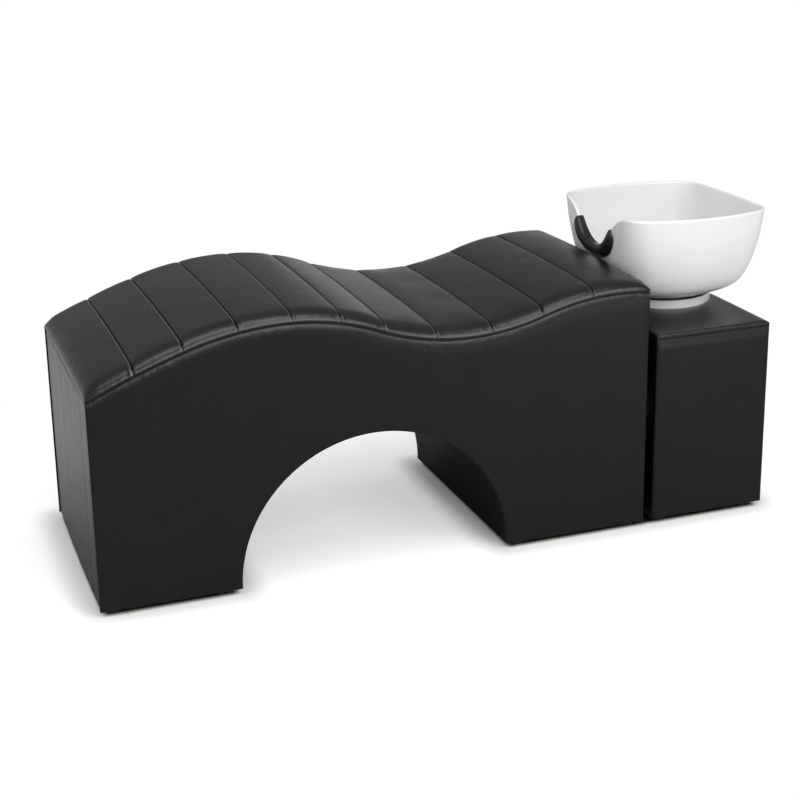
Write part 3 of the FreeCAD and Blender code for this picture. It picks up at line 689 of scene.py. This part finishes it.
def make_seat():
    swell = simulate_swell()
    columns = seat_columns()
    rows = [math.copysign(1 - (1 - abs(t)) ** 1.12, t) for t in steps(-1, 1, seat_rows)]
    verts = [seat_skin(swell, x, across) for x in columns for across in rows]
    stride = len(rows)
    faces = grid_faces(len(columns), stride)
    for i in range(1, len(columns) - 2):
        a = i * stride
        faces.append((a, a + stride, a + stride + seat_rows, a + seat_rows))
    last = (len(columns) - 1) * stride
    faces.append([*range(stride), stride + seat_rows, stride])
    faces.append([last - stride, last - stride + seat_rows, *range(last + seat_rows, last - 1, -1)])
    piece = mesh_object("seat_cushion", verts, faces, seat_leather, 60)
    mark_fold_highlights(piece)
    finish_piece(piece, "seat_quilted_cover", fill=0.8)


# Thin covers of the lounger and the pedestal

def make_cover(name, node, front, back, body="root", material=leather):
    """Closed sheet between two equal grids of points."""
    rows, columns = len(front), len(front[0])
    shift = rows * columns
    faces = grid_faces(rows, columns) + grid_faces(rows, columns, shift, turned=True)
    edge = list(range(columns))
    edge += [i * columns + columns - 1 for i in range(1, rows)]
    edge += [(rows - 1) * columns + j for j in range(columns - 2, -1, -1)]
    edge += [i * columns for i in range(rows - 2, 0, -1)]
    faces += [(a, b, b + shift, a + shift) for a, b in zip(edge, edge[1:] + edge[:1])]
    piece = mesh_object(name, joined(front) + joined(back), faces, material, 50)
    finish_piece(piece, node, body=body)


def arch_top(x):
    """Height of the arch above the floor at x, or the bottom edge beside it."""
    away = abs(x - arch_x)
    return arch_z + math.sqrt(arch_radius ** 2 - away ** 2) if away < arch_radius else ground_gap


def arch_distance(x, z):
    if z > arch_z:
        return abs(math.hypot(x - arch_x, z - arch_z) - arch_radius)
    return abs(abs(x - arch_x) - arch_radius)


def seam_inset(from_top):
    """How far a side is drawn in below its top seam: seam strip, stitch line, then a soft bulge."""
    soft = seam_roll * math.exp(-max(from_top - stitch_drop, 0) / seam_roll_reach)
    soft -= side_bulge * math.exp(-from_top / side_bulge_reach)
    strip = groove(from_top - strip_drop, strip_width, strip_height)
    return soft - strip + groove(from_top - stitch_drop, stitch_groove, stitch_groove)


def seam_puckers(x, from_top):
    """Short folds that hang from the stitch line."""
    below = from_top - stitch_drop
    if below < 0:
        return 0.0
    return pucker(x * 1.1, below, *side_pucker) * min(below / 0.004, 1)


def make_side(name, node, side, stations, heights, inset):
    """Side cover through its stations, with the heights at each and how far its face is drawn in."""
    front, back = [], []
    deepest = cover - cover_least
    for x in stations:
        zs = heights(x)
        front.append([place(x, side * (half_width - min(inset(x, z), deepest)), z) for z in zs])
        back.append([place(x, side * inner_half, z) for z in zs])
    make_cover(name, node, front, back)


def make_bed_side(side, word):
    stations = {*graded(0, arch_start, *length_steps), *graded(arch_end, bed_length, *length_steps)}
    stations |= {arch_x - arch_radius * math.cos(math.pi * i / 200) for i in range(201)}

    def heights(x):
        low, high = arch_top(x), wave(x)
        zs = [low + (high - seam_band - low) * share for share in side_row_shares]
        return zs + [high - drop for drop in seam_drops]

    def inset(x, z):
        from_top = wave(x) - z
        from_low = min(z - ground_gap, arch_distance(x, z))
        from_end = min(x, bed_length - x)
        swell = seam_inset(from_top)
        if swell < 0:
            swell *= min(from_low / bulge_margin, from_end / bulge_margin, 1.0)
        edge = max(rounding(from_low, side_low_round), end_rounding(from_end))
        return (max(edge, swell) if edge > 0 else swell) - seam_puckers(x, from_top)

    stations = sorted(round(x, 6) for x in stations)
    make_side(word + "_side_leather", word + "_side_cover", side, stations, heights, inset)


def make_pedestal_side(side, word):
    xs = graded(pedestal_x, pedestal_end, *width_steps)
    zs = graded(ground_gap, pedestal_height, *height_steps)

    def inset(x, z):
        from_top = pedestal_height - z
        from_end = min(x - pedestal_x, pedestal_end - x)
        edge = max(rounding(z - ground_gap), end_rounding(from_end))
        return max(edge, seam_inset(from_top)) - 0.6 * seam_puckers(x, from_top)

    name = "pedestal_" + word
    make_side(name + "_leather", name + "_cover", side, xs, lambda x: zs, inset)


def make_end(name, node, flat_x, towards, top, ripple_place, bulge=end_bulge, ripple=end_ripple,
             low=ground_gap, half=inner_half, body="root"):
    """End cover on its flat back: it bulges across, is rounded at its edges and ripples a little."""
    def out(y, z):
        side_edge = end_rounding(half - abs(y), edge_round)
        far = cover - bulge * (y / half) ** 2
        far -= max(side_edge, rounding(top - z, end_top_round), rounding(z - low))
        wavy = noise.noise(Vector((y / 0.045, z / 0.4, ripple_place)))
        far += ripple * wavy * min((half - abs(y)) / 0.02, 1)
        return max(far - groove(top - z - stitch_drop, 0.0016, 0.0008), 0.0008)

    ys, zs = graded(-half, half, *width_steps), graded(low, top, *height_steps)
    front = [[place(flat_x + towards * out(y, z), y, z) for z in zs] for y in ys]
    back = [[place(flat_x, y, z) for z in zs] for y in ys]
    make_cover(name, node, front, back, body)


def make_arch_cover():
    """Lining cover of the arch, slightly loose between its two edges."""
    turns = [math.pi * i / 90 for i in range(1, 90)]
    path = [(-arch_radius, ground_gap), (-arch_radius, arch_z)]
    path += [(-arch_radius * math.cos(turn), arch_z + arch_radius * math.sin(turn)) for turn in turns]
    path += [(arch_radius, arch_z), (arch_radius, ground_gap)]
    front, back = [], []
    for dx, z in path:
        base_z = arch_z if z > arch_z else z
        unit = Vector((dx, z - base_z)).normalized()
        far = unit * (arch_radius + arch_lining)
        row, back_row = [], []
        for y in steps(-inner_half, inner_half, 60):
            loose = lining_ripple * noise.noise(Vector((dx / 0.09, z / 0.09, y / 0.2)))
            out = unit * (arch_radius + lining_lift + loose)
            row.append(place(arch_x + out.x, y, base_z + out.y))
            back_row.append(place(arch_x + far.x, y, base_z + far.y))
        front.append(row)
        back.append(back_row)
    make_cover("arch_lining_leather", "arch_cover", front, back, material=arch_leather)


# Pad of the pedestal

def pad_ray(turn, low_x, high_x, half):
    """Where a ray from the ring's middle leaves the ring's hole and where it meets the pad's edge."""
    c, s = math.cos(turn), math.sin(turn)
    reach_x = (high_x - bowl_x) if c > 0 else (bowl_x - low_x)
    reach = min(reach_x / max(abs(c), 1e-6), half / max(abs(s), 1e-6))
    hole = ring_outer + ring_gap
    return (bowl_x + hole * c, hole * s), (bowl_x + reach * c, reach * s)


def pad_height(p):
    from_side = half_width - abs(p.y)
    from_edge = max(min(from_side, p.x - pedestal_x, pedestal_end - p.x), 0)
    from_hole = (p - Vector((bowl_x, 0))).length - ring_outer
    crown = pad_crown * (1 - (p.y / half_width) ** 2)
    shoulder = pad_shoulder - rounding(from_side, pad_shoulder)
    height = (shoulder + crown) * risen(min(p.x - pedestal_x, pedestal_end - p.x), pad_end_roll)
    height += pucker(p.x + p.y, from_edge, *pad_pucker) * min(from_edge / 0.006, 1)
    height -= pad_dip * math.exp(-max(from_hole, 0) / 0.006)
    return max(height, 0.0004)


def make_pad():
    """Crowned pad with a round hole for the ring: rows run out from the ring to the edges."""
    top, low = [], []
    for turn in steps(0, 2 * math.pi, pad_turns)[:-1]:
        ray = pad_ray(turn, pedestal_x, pedestal_end, half_width - 0.0006)
        hole, rim = Vector(ray[0]), Vector(ray[1])
        points = [hole.lerp(rim, 1 - (1 - share) ** 1.6) for share in steps(0, 1, pad_rings)]
        top.append([place(p.x, p.y, pedestal_height + pad_height(p)) for p in points])
        low.append([place(p.x, p.y, pedestal_height) for p in points])
    columns = pad_rings + 1
    shift = pad_turns * columns
    faces = grid_faces(pad_turns, columns, turned=True, round_rows=True)
    faces += grid_faces(pad_turns, columns, shift, round_rows=True)
    for i in range(pad_turns):
        a, b = i * columns, (i + 1) % pad_turns * columns
        faces.append((a, a + shift, b + shift, b))
        faces.append((a + pad_rings, b + pad_rings, b + pad_rings + shift, a + pad_rings + shift))
    piece = mesh_object("pedestal_pad", joined(top) + joined(low), faces, seat_leather, 60)
    finish_piece(piece, "pedestal_top_pad", fill=0.9)


def make_pad_band():
    """Board-deep part of the pad between its cover and the top board, with its rear band."""
    low_x, high_x = pedestal_x + cover, pedestal_end
    turns = steps(0, 2 * math.pi, band_turns)[:-1]
    rays = [pad_ray(turn, low_x, high_x, inner_half) for turn in turns]
    inner = [hole for hole, _ in rays]
    outer = [edge for _, edge in rays]
    for corner in ((x, side * inner_half) for x in (low_x, high_x) for side in (-1, 1)):
        nearest = min(range(band_turns), key=lambda i: math.dist(outer[i], corner))
        outer[nearest] = corner
    low, high = pedestal_height - pedestal_slab, pedestal_height - 0.0002
    rings = ((outer, low), (outer, high), (inner, high), (inner, low))
    verts = [place(x, y, z) for ring, z in rings for x, y in ring]
    faces = grid_faces(len(rings), band_turns, round_rows=True, round_columns=True)
    finish_piece(mesh_object("pedestal_pad_band", verts, faces, leather), fill=1.0)


# Basin

def ball_level(radius, inset=0.0):
    return ball_height - math.sqrt((ball_radius - inset) ** 2 - radius ** 2)


cap_top = ball_level(cap_radius)


def wall_growth(z):
    """How far the bowl has grown from its cap to its rim, on a smooth curve through the table."""
    share = min(max((z - cap_top) / (growth_end - cap_top), 0.0), 1.0)
    last = len(growth_table) - 1
    i = next(k for k in range(last) if share <= growth_table[k + 1][0])

    def slope(k):
        a, b = growth_table[max(k - 1, 0)], growth_table[min(k + 1, last)]
        return (b[1] - a[1]) / (b[0] - a[0])

    (x0, y0), (x1, y1) = growth_table[i], growth_table[i + 1]
    width = x1 - x0
    t = (share - x0) / width
    h00, h10 = 2 * t ** 3 - 3 * t ** 2 + 1, t ** 3 - 2 * t ** 2 + t
    h01, h11 = -2 * t ** 3 + 3 * t ** 2, t ** 3 - t ** 2
    return h00 * y0 + h10 * width * slope(i) + h01 * y1 + h11 * width * slope(i + 1)


def section_arcs(growth):
    """Arc centres and radii of the bowl's section on its way from the round cap to the rim."""
    corner = blend(cap_corner, rim_corner, growth)
    hx, hy = (blend(cap_radius, half, growth) for half in rim_half)
    bx, by = (blend(cap_bulge, bulge, growth) for bulge in rim_bulge)
    cx, cy = hx - corner - bx, hy - corner - by

    def side(reach, along, across):
        back = along - reach
        radius = (corner ** 2 - back ** 2 - across ** 2) / (2 * (back + corner))
        return reach - radius, radius

    ex, er = side(hx, cx, cy)
    sy, sr = side(hy, cy, cx)
    return cx, cy, corner, ex, er, sy, sr, math.atan2(cy, cx - ex), math.atan2(cy - sy, cx)


def section_point(turn, growth, inset):
    """Point of the bowl's section whose wall faces the given way."""
    cx, cy, corner, ex, er, sy, sr, first, last = section_arcs(growth)
    c, s = math.cos(turn), math.sin(turn)
    facing = math.atan2(abs(s), abs(c))
    if facing < first:
        x, y = ex + er * abs(c), er * abs(s)
    elif facing > last:
        x, y = sr * abs(c), sy + sr * abs(s)
    else:
        x, y = cx + corner * abs(c), cy + corner * abs(s)
    return Vector((math.copysign(x, c) - inset * c, math.copysign(y, s) - inset * s))


def notch_height(y):
    """Top edge of the bowl's front wall: a round notch that flares out to the rim."""
    centre = rim_height - notch_depth + notch_radius
    flare_z = rim_height - flare_radius
    flare_y = math.sqrt((notch_radius + flare_radius) ** 2 - (centre - flare_z) ** 2)
    tangent = flare_y * notch_radius / (notch_radius + flare_radius)
    y = abs(y)
    if y < tangent:
        return centre - math.sqrt(notch_radius ** 2 - y ** 2)
    if y < flare_y:
        return flare_z + math.sqrt(flare_radius ** 2 - (y - flare_y) ** 2)
    return rim_height


def edge_height(turn):
    """Height of the bowl's edge for the wall that faces the given way."""
    if math.cos(turn) > -0.2:
        return rim_height
    z = rim_height
    for _ in range(14):
        y = section_point(turn, wall_growth(z), 0.0).y
        z = z * 0.4 + notch_height(y) * 0.6
    return z


def bowl_turns():
    """Turns that space the columns evenly along the rim."""
    fine = steps(0, 2 * math.pi, rim_samples)
    rim = [section_point(turn, 1.0, 0.0) for turn in fine]
    lengths = [0.0]
    for before, now in zip(rim, rim[1:]):
        lengths.append(lengths[-1] + (now - before).length)
    turns, k = [], 0
    for i in range(bowl_columns):
        target = lengths[-1] * i / bowl_columns
        while lengths[k + 1] < target:
            k += 1
        share = (target - lengths[k]) / (lengths[k + 1] - lengths[k])
        turns.append(blend(fine[k], fine[k + 1], share))
    return turns


def bowl_column(turn):
    """Closed outline of the bowl's wall where it faces one way, from the waste hole and back."""
    unit = Vector((math.cos(turn), math.sin(turn)))
    lip = bowl_wall / 2
    inner_cap = cap_radius - bowl_wall
    top = edge_height(turn)
    lip_start = top - lip

    def wall(z, inset):
        return section_point(turn, wall_growth(min(z, top)), inset), z

    def cap(start, end, inset):
        return [(unit * radius, ball_level(radius, inset)) for radius in steps(start, end, cap_steps)]

    points = cap(waste_recess, inner_cap, bowl_wall)
    points += [wall(z, bowl_wall) for z in steps(points[-1][1], lip_start, wall_steps)[1:]]
    for i in range(1, lip_steps):
        arc = math.pi * i / lip_steps
        points.append(wall(lip_start + lip * math.sin(arc), lip + lip * math.cos(arc)))
    points += [wall(z, 0.0) for z in reversed(steps(cap_top, lip_start, wall_steps))]
    points += cap(cap_radius, waste_hole, 0.0)[1:]
    return [place(bowl_x + p.x, p.y, z) for p, z in points]


def make_bowl():
    columns = [bowl_column(turn) for turn in bowl_turns()]
    faces = grid_faces(bowl_columns, len(columns[0]), round_rows=True, round_columns=True)
    piece = mesh_object("ceramic_bowl", joined(columns), faces, finishes["white_ceramic"], 60)
    finish_piece(piece, "basin_bowl", body="basin", slot="white_ceramic")


def wall_point(y, z, out):
    """Point at a distance outside the bowl's front wall, found by where it lies across."""
    growth = wall_growth(z)
    low, high = math.pi / 2, math.pi
    for _ in range(40):
        middle = (low + high) / 2
        if section_point(middle, growth, 0.0).y > abs(y):
            low = middle
        else:
            high = middle
    p = section_point(high, growth, -out)
    return place(bowl_x + p.x, math.copysign(p.y, y), z)


def rest_outline(t):
    """How far out and how far down the rest's outline lies at t, which runs from -1 to 1."""
    full = max((1 - abs(t) ** 3.0) ** 0.55, 0.06)
    lobe = math.sin(math.pi * min(abs(t) / 1.15, 1.0)) ** 2
    drop, drop_in = (rest_drop + lobe_drop * lobe) * full, rest_drop_inside * full
    out, rise = (rest_out + lobe_out * lobe) * full, rest_rise * full
    inside = -bowl_wall - rest_gap
    outline = []
    for turn in (math.pi * (k / 24 - 0.5) for k in range(25)):
        down = (drop - rise) / 2 - (drop + rise) / 2 * math.sin(turn)
        outline.append((rest_gap + out * math.cos(turn), down))
    outline += [(rest_gap - (bowl_wall + 2 * rest_gap) * k / 6, -rise) for k in range(1, 6)]
    for turn in (math.pi * (k / 16 - 0.5) for k in range(17)):
        down = (drop_in - rise) / 2 + (drop_in + rise) / 2 * math.sin(turn)
        outline.append((inside - rest_in * full * math.cos(turn), down))
    return outline + [(inside, -0.0004), (-bowl_wall / 2, -0.0008), (rest_gap, -0.0004)]


def make_neck_rest():
    """Soft crescent clipped over the notch: a full outer lip, a thinner inner one."""
    rings = []
    step = 0.0005
    for t in steps(-1, 1, rest_stations):
        y = rest_tip * math.sin(t * math.pi / 2)
        slope = (notch_height(abs(y) + step) - notch_height(abs(abs(y) - step))) / (2 * step)
        tangent = Vector((1, math.copysign(slope, y) if abs(y) > step else 0)).normalized()
        down = Vector((tangent.y, -tangent.x))
        edge = Vector((y, notch_height(y)))
        rings.append([wall_point(*(edge + down * along), across) for across, along in rest_outline(t)])
    count = len(rings[0])
    faces = grid_faces(len(rings), count, round_columns=True)
    faces += [list(range(count)), list(range(rest_stations * count, (rest_stations + 1) * count))]
    piece = mesh_object("neck_rest_clip", joined(rings), faces, finishes["neck_rest_rubber"], 70)
    finish_piece(piece, "neck_rest", body="neck_rest", slot="neck_rest_rubber", fill=1.0)


def make_ring():
    outline = [(ring_inner, ring_bottom), (ring_inner, ring_top - ring_bevel),
               (ring_inner + ring_bevel, ring_top)]
    middle, height = ring_outer - ring_round, ring_top - ring_round
    for turn in steps(0, math.pi / 2, 8):
        outline.append((middle + ring_round * math.sin(turn), height + ring_round * math.cos(turn)))
    outline += [(ring_outer, ring_bottom + ring_bevel), (ring_outer - ring_bevel, ring_bottom)]
    verts = [place(bowl_x + radius * math.cos(turn), radius * math.sin(turn), z)
             for turn in steps(0, 2 * math.pi, ring_turns)[:-1] for radius, z in outline]
    faces = grid_faces(ring_turns, len(outline), round_rows=True, round_columns=True)
    piece = mesh_object("ring_seat", verts, faces, finishes["white_ring"], 40)
    finish_piece(piece, "basin_ring_seat", slot="white_ring")


# Glides and stitches, repeated by Geometry Nodes

def new_tree(name, sizes):
    """Node tree with named sizes, with the value of each by its identifier, and its input sockets."""
    tree = bpy.data.node_groups.new(name, "GeometryNodeTree")
    for in_out in ("INPUT", "OUTPUT"):
        tree.interface.new_socket("Geometry", in_out=in_out, socket_type="NodeSocketGeometry")
    values = {}
    for label, size in sizes.items():
        socket = tree.interface.new_socket(label, in_out="INPUT", socket_type="NodeSocketFloat")
        socket.default_value = size
        values[socket.identifier] = size
    return tree, values, add_node(tree, "NodeGroupInput").outputs


def set_on_points(tree, inputs, material):
    """Sets a mesh on every point, and ends the tree in plain geometry with its material."""
    copies = add_node(tree, "GeometryNodeInstanceOnPoints", inputs).outputs["Instances"]
    plain = add_node(tree, "GeometryNodeRealizeInstances", {"Geometry": copies}).outputs["Geometry"]
    painted = add_node(tree, "GeometryNodeSetMaterial", {"Geometry": plain, "Material": material})
    add_node(tree, "NodeGroupOutput", {"Geometry": painted.outputs["Geometry"]})


def glide_tree():
    """Slightly tapered foot on every point, with its height and radius as inputs."""
    tree, values, given = new_tree("glides_on_points", glide_sizes)
    foot = add_node(tree, "GeometryNodeMeshCone", {
        "Vertices": 48, "Side Segments": 3, "Radius Top": given["Radius"], "Depth": given["Height"],
        "Radius Bottom": math_node(tree, "MULTIPLY", given["Radius"], glide_taper)})
    inputs = {"Points": given["Geometry"], "Instance": foot.outputs["Mesh"]}
    set_on_points(tree, inputs, finishes["black_glide"])
    return tree, values


def stitch_tree():
    """Slim thread loops set at an even pitch along seam lines and laid along them."""
    tree, values, given = new_tree("stitches_on_seams", stitch_sizes)
    curve = add_node(tree, "GeometryNodeMeshToCurve", {"Mesh": given["Geometry"]}).outputs["Curve"]
    inputs = {"Curve": curve, "Length": given["Pitch"]}
    points = add_node(tree, "GeometryNodeCurveToPoints", inputs, mode="LENGTH").outputs
    turn = add_node(tree, "FunctionNodeAlignRotationToVector", {"Vector": points["Tangent"]}, axis="Z")
    loop = add_node(tree, "GeometryNodeMeshUVSphere", {"Segments": 6, "Rings": 5, "Radius": 1.0})
    radius, half_length = given["Radius"], math_node(tree, "MULTIPLY", given["Length"], 0.5)
    size = add_node(tree, "ShaderNodeCombineXYZ", {"X": radius, "Y": radius, "Z": half_length})
    inputs = {"Points": points["Points"], "Instance": loop.outputs["Mesh"],
              "Rotation": turn.outputs["Rotation"], "Scale": size.outputs["Vector"]}
    set_on_points(tree, inputs, finishes["thread"])
    return tree, values


def grown(name, verts, edges, tree, values):
    """Runs a node tree on points or lines and keeps its result as a plain mesh."""
    mesh = bpy.data.meshes.new(name + "_guide")
    mesh.from_pydata(verts, edges, [])
    guide = add_object(name + "_guide", mesh)
    modifier = guide.modifiers.new("grow", "NODES")
    modifier.node_group = tree
    for identifier, value in values.items():
        modifier[identifier] = value
    graph = bpy.context.evaluated_depsgraph_get()
    result = bpy.data.meshes.new_from_object(guide.evaluated_get(graph))
    result.name = name
    result.polygons.foreach_set("use_smooth", [True] * len(result.polygons))
    guide.modifiers.remove(modifier)
    bpy.data.objects.remove(guide)
    return add_object(name, result)


def make_glides():
    tree, values = glide_tree()
    y = half_width - glide_inset
    legs = {
        "bed_glides": ((0.0, arch_start), (arch_end, bed_length)),
        "pedestal_glides": ((pedestal_x, pedestal_end),),
    }
    for node, spans in legs.items():
        points = [place(x, side * y, 0.0) for low, high in spans
                  for x in (low + glide_inset, high - glide_inset) for side in (-1, 1)]
        piece = grown(node + "_turned", points, [], tree, values)
        piece.data.set_sharp_from_angle(angle=math.radians(40))
        finish_piece(piece, node, slot="black_glide")


def make_stitches():
    """Seam stitches of the lounger and of the pedestal, along paths that lie on their covers."""
    tree, values = stitch_tree()
    skin = half_width - seam_inset(stitch_drop) + stitch_lift
    ys = steps(0.014 - half_width, half_width - 0.014, 60)
    bed_xs = steps(0.012, bed_length - 0.012, 300)
    bed_paths = [[place(x, side * skin, wave(x) - stitch_drop) for x in bed_xs] for side in (-1, 1)]
    level = foot_height - stitch_drop
    bed_paths.append([place(end_bulge * (y / half_width) ** 2 + stitch_lift, y, level) for y in ys])
    bed_paths.append([place(bed_length - stitch_lift, y, head_height - stitch_drop) for y in ys])
    level = pedestal_height - stitch_drop
    pedestal_xs = steps(pedestal_x + 0.012, pedestal_end - 0.012, 60)
    pedestal_paths = [[place(x, side * skin, level) for x in pedestal_xs] for side in (-1, 1)]
    pedestal_paths.append([place(pedestal_x + stitch_lift, y, level) for y in ys])
    for name, paths in (("bed_seam_stitches", bed_paths), ("pedestal_seam_stitches", pedestal_paths)):
        verts, edges = [], []
        for path in paths:
            edges += [(len(verts) + i, len(verts) + i + 1) for i in range(len(path) - 1)]
            verts += path
        finish_piece(grown(name, verts, edges, tree, values))


# Stage, light and camera

def mixed(tree, factor, first, second):
    return add_node(tree, "ShaderNodeMixShader", {"Fac": factor, 1: first, 2: second}).outputs[0]


def ray_kinds(tree):
    """Whether a ray is seen straight or through glass, and whether it is a mirrored one."""
    rays = add_node(tree, "ShaderNodeLightPath").outputs
    straight = math_node(tree, "MAXIMUM", rays["Is Camera Ray"], rays["Is Transmission Ray"])
    return straight, rays["Is Glossy Ray"]


def legs_distance(tree, where, inset):
    """Distance on the floor from the legs' footprints, drawn in by an inset."""
    gaps = []
    for low, high in ((0, arch_start), (arch_end, pedestal_end)):
        apart = vector_node(tree, "SUBTRACT", where, ((low + high) / 2 + foot_x, 0, 0))
        half_size = ((high - low) / 2 - inset, half_width - inset, 0)
        beyond = vector_node(tree, "SUBTRACT", vector_node(tree, "ABSOLUTE", apart), half_size)
        outside = vector_node(tree, "MAXIMUM", beyond, (0, 0, 0))
        gaps.append(vector_node(tree, "LENGTH", outside, result="Value"))
    return math_node(tree, "MINIMUM", *gaps)


def floor_material():
    """Pale floor with its cast shadow and a camera-only glow that is weaker near the legs as painted
    shade, with a dark painted shadow just under their edges and white away from them; mirrored rays
    see a painted reflection of it.
    """
    material, tree, shader, where = new_material("pale_floor")
    feed(tree, shader, {"Base Color": (*grey(0.80), 1), "Roughness": 0.9, "Specular IOR Level": 0.1})
    # Painted shade: the floor's glow is weaker near the legs
    beside = legs_distance(tree, where, 0.0)
    strength = fade(tree, beside, 0.0, painted_shade_reach, floor_lift_in_painted_shade, floor_lift)
    lift = add_node(tree, "ShaderNodeEmission", {"Strength": strength}).outputs[0]
    seen = add_node(tree, "ShaderNodeAddShader", {0: shader.outputs[0], 1: lift}).outputs[0]
    white = add_node(tree, "ShaderNodeEmission").outputs[0]
    seen = mixed(tree, fade(tree, beside, *floor_white, 0.0, 1.0), seen, white)
    # Painted shadow: a dark colour just under the legs' edges
    dark = add_node(tree, "ShaderNodeBsdfDiffuse", {"Color": (*grey(0.02), 1)}).outputs[0]
    painted_shadow_distance = legs_distance(tree, where, painted_shadow_inset)
    seen = mixed(tree, fade(tree, painted_shadow_distance, 0.0, painted_shadow_inset, 1.0, 0.0), seen, dark)
    # Painted reflection: mirrored rays see a dimmer floor, graded darker at the front and paler at the
    # back
    depth = add_node(tree, "ShaderNodeSeparateXYZ", {"Vector": where}).outputs["Y"]
    depth = fade(tree, depth, *floor_mirrored_depth, 0.0, 1.0)
    low, high = floor_mirrored
    mirrored = ramp(tree, depth, grey(low), grey(high), 0.0, 1.0)
    painted_reflection = add_node(tree, "ShaderNodeBsdfDiffuse", {"Color": mirrored})
    straight, glossy = ray_kinds(tree)
    unseen = mixed(tree, glossy, shader.outputs[0], painted_reflection.outputs[0])
    feed(tree, tree.nodes["Material Output"], {"Surface": mixed(tree, straight, unseen, seen)})
    return material


def make_stage():
    size = floor_size
    corners = [(-size, -size, 0), (size, -size, 0), (size, size, 0), (-size, size, 0)]
    floor = mesh_object("floor", corners, [(0, 1, 2, 3)], floor_material())
    world = bpy.data.worlds.new("white_studio")
    bpy.context.scene.world = world
    world.use_nodes = True
    tree = world.node_tree
    straight, glossy = ray_kinds(tree)
    level = math_node(tree, "MULTIPLY_ADD", glossy, sky_glossy - sky_diffuse, sky_diffuse)
    feed(tree, tree.nodes["Background"],
         {"Color": (1, 1, 1, 1), "Strength": math_node(tree, "MAXIMUM", straight, level)})


def make_lights():
    for name, location, target, size, power in lamps:
        light = bpy.data.lights.new(name, "AREA")
        light.shape = "RECTANGLE"
        light.size, light.size_y = size
        light.energy = power
        lamp = add_object(name, light)
        lamp.location = location
        lamp.rotation_mode = "QUATERNION"
        lamp.rotation_quaternion = (Vector(target) - Vector(location)).to_track_quat("-Z", "Y")


def make_camera():
    """Camera fitted to the lounger's and pedestal's straight edges."""
    yaw, pitch, roll = camera_turns
    level = math.cos(pitch)
    forward = Vector((math.sin(yaw) * level, math.cos(yaw) * level, -math.sin(pitch)))
    right = forward.cross(Vector((0, 0, 1))).normalized()
    up = right.cross(forward)
    c, s = math.cos(roll), math.sin(roll)
    data = bpy.data.cameras.new("photo_view")
    data.sensor_width = 36
    data.lens = camera_lens
    data.shift_y = camera_shift
    data.clip_end = 200
    camera = add_object("photo_view", data)
    turn = Matrix((right * c + up * s, up * c - right * s, -forward)).transposed()
    camera.matrix_world = Matrix.Translation(camera_place) @ turn.to_4x4()
    bpy.context.scene.camera = camera


make_seat()
for side, word in ((-1, "near"), (1, "far")):
    make_bed_side(side, word)
make_end("foot_end_leather", "foot_end_cover", cover, -1, foot_height, 2.3)
make_end("head_end_leather", "head_end_cover", bed_length - cover, 1, head_height, 5.1,
         flat_end, flat_end)
make_arch_cover()
for side, word in ((-1, "near"), (1, "far")):
    make_pedestal_side(side, word)
make_end("pedestal_front_leather", "pedestal_front_cover", pedestal_x + cover, -1, pedestal_height,
         7.7, flat_end, flat_end)
make_end("access_panel_leather", "access_panel_cover", pedestal_end - cover, 1,
         pedestal_height - pedestal_slab - panel_gap, 8.8, low=ground_gap + panel_gap,
         half=inner_half - panel_gap, body="access_panel")
make_pad()
make_pad_band()
make_bowl()
make_neck_rest()
make_ring()
make_glides()
make_stitches()
make_stage()
make_lights()
make_camera()

bpy.context.scene.view_settings.view_transform = "Standard"
bpy.context.view_layer.update()
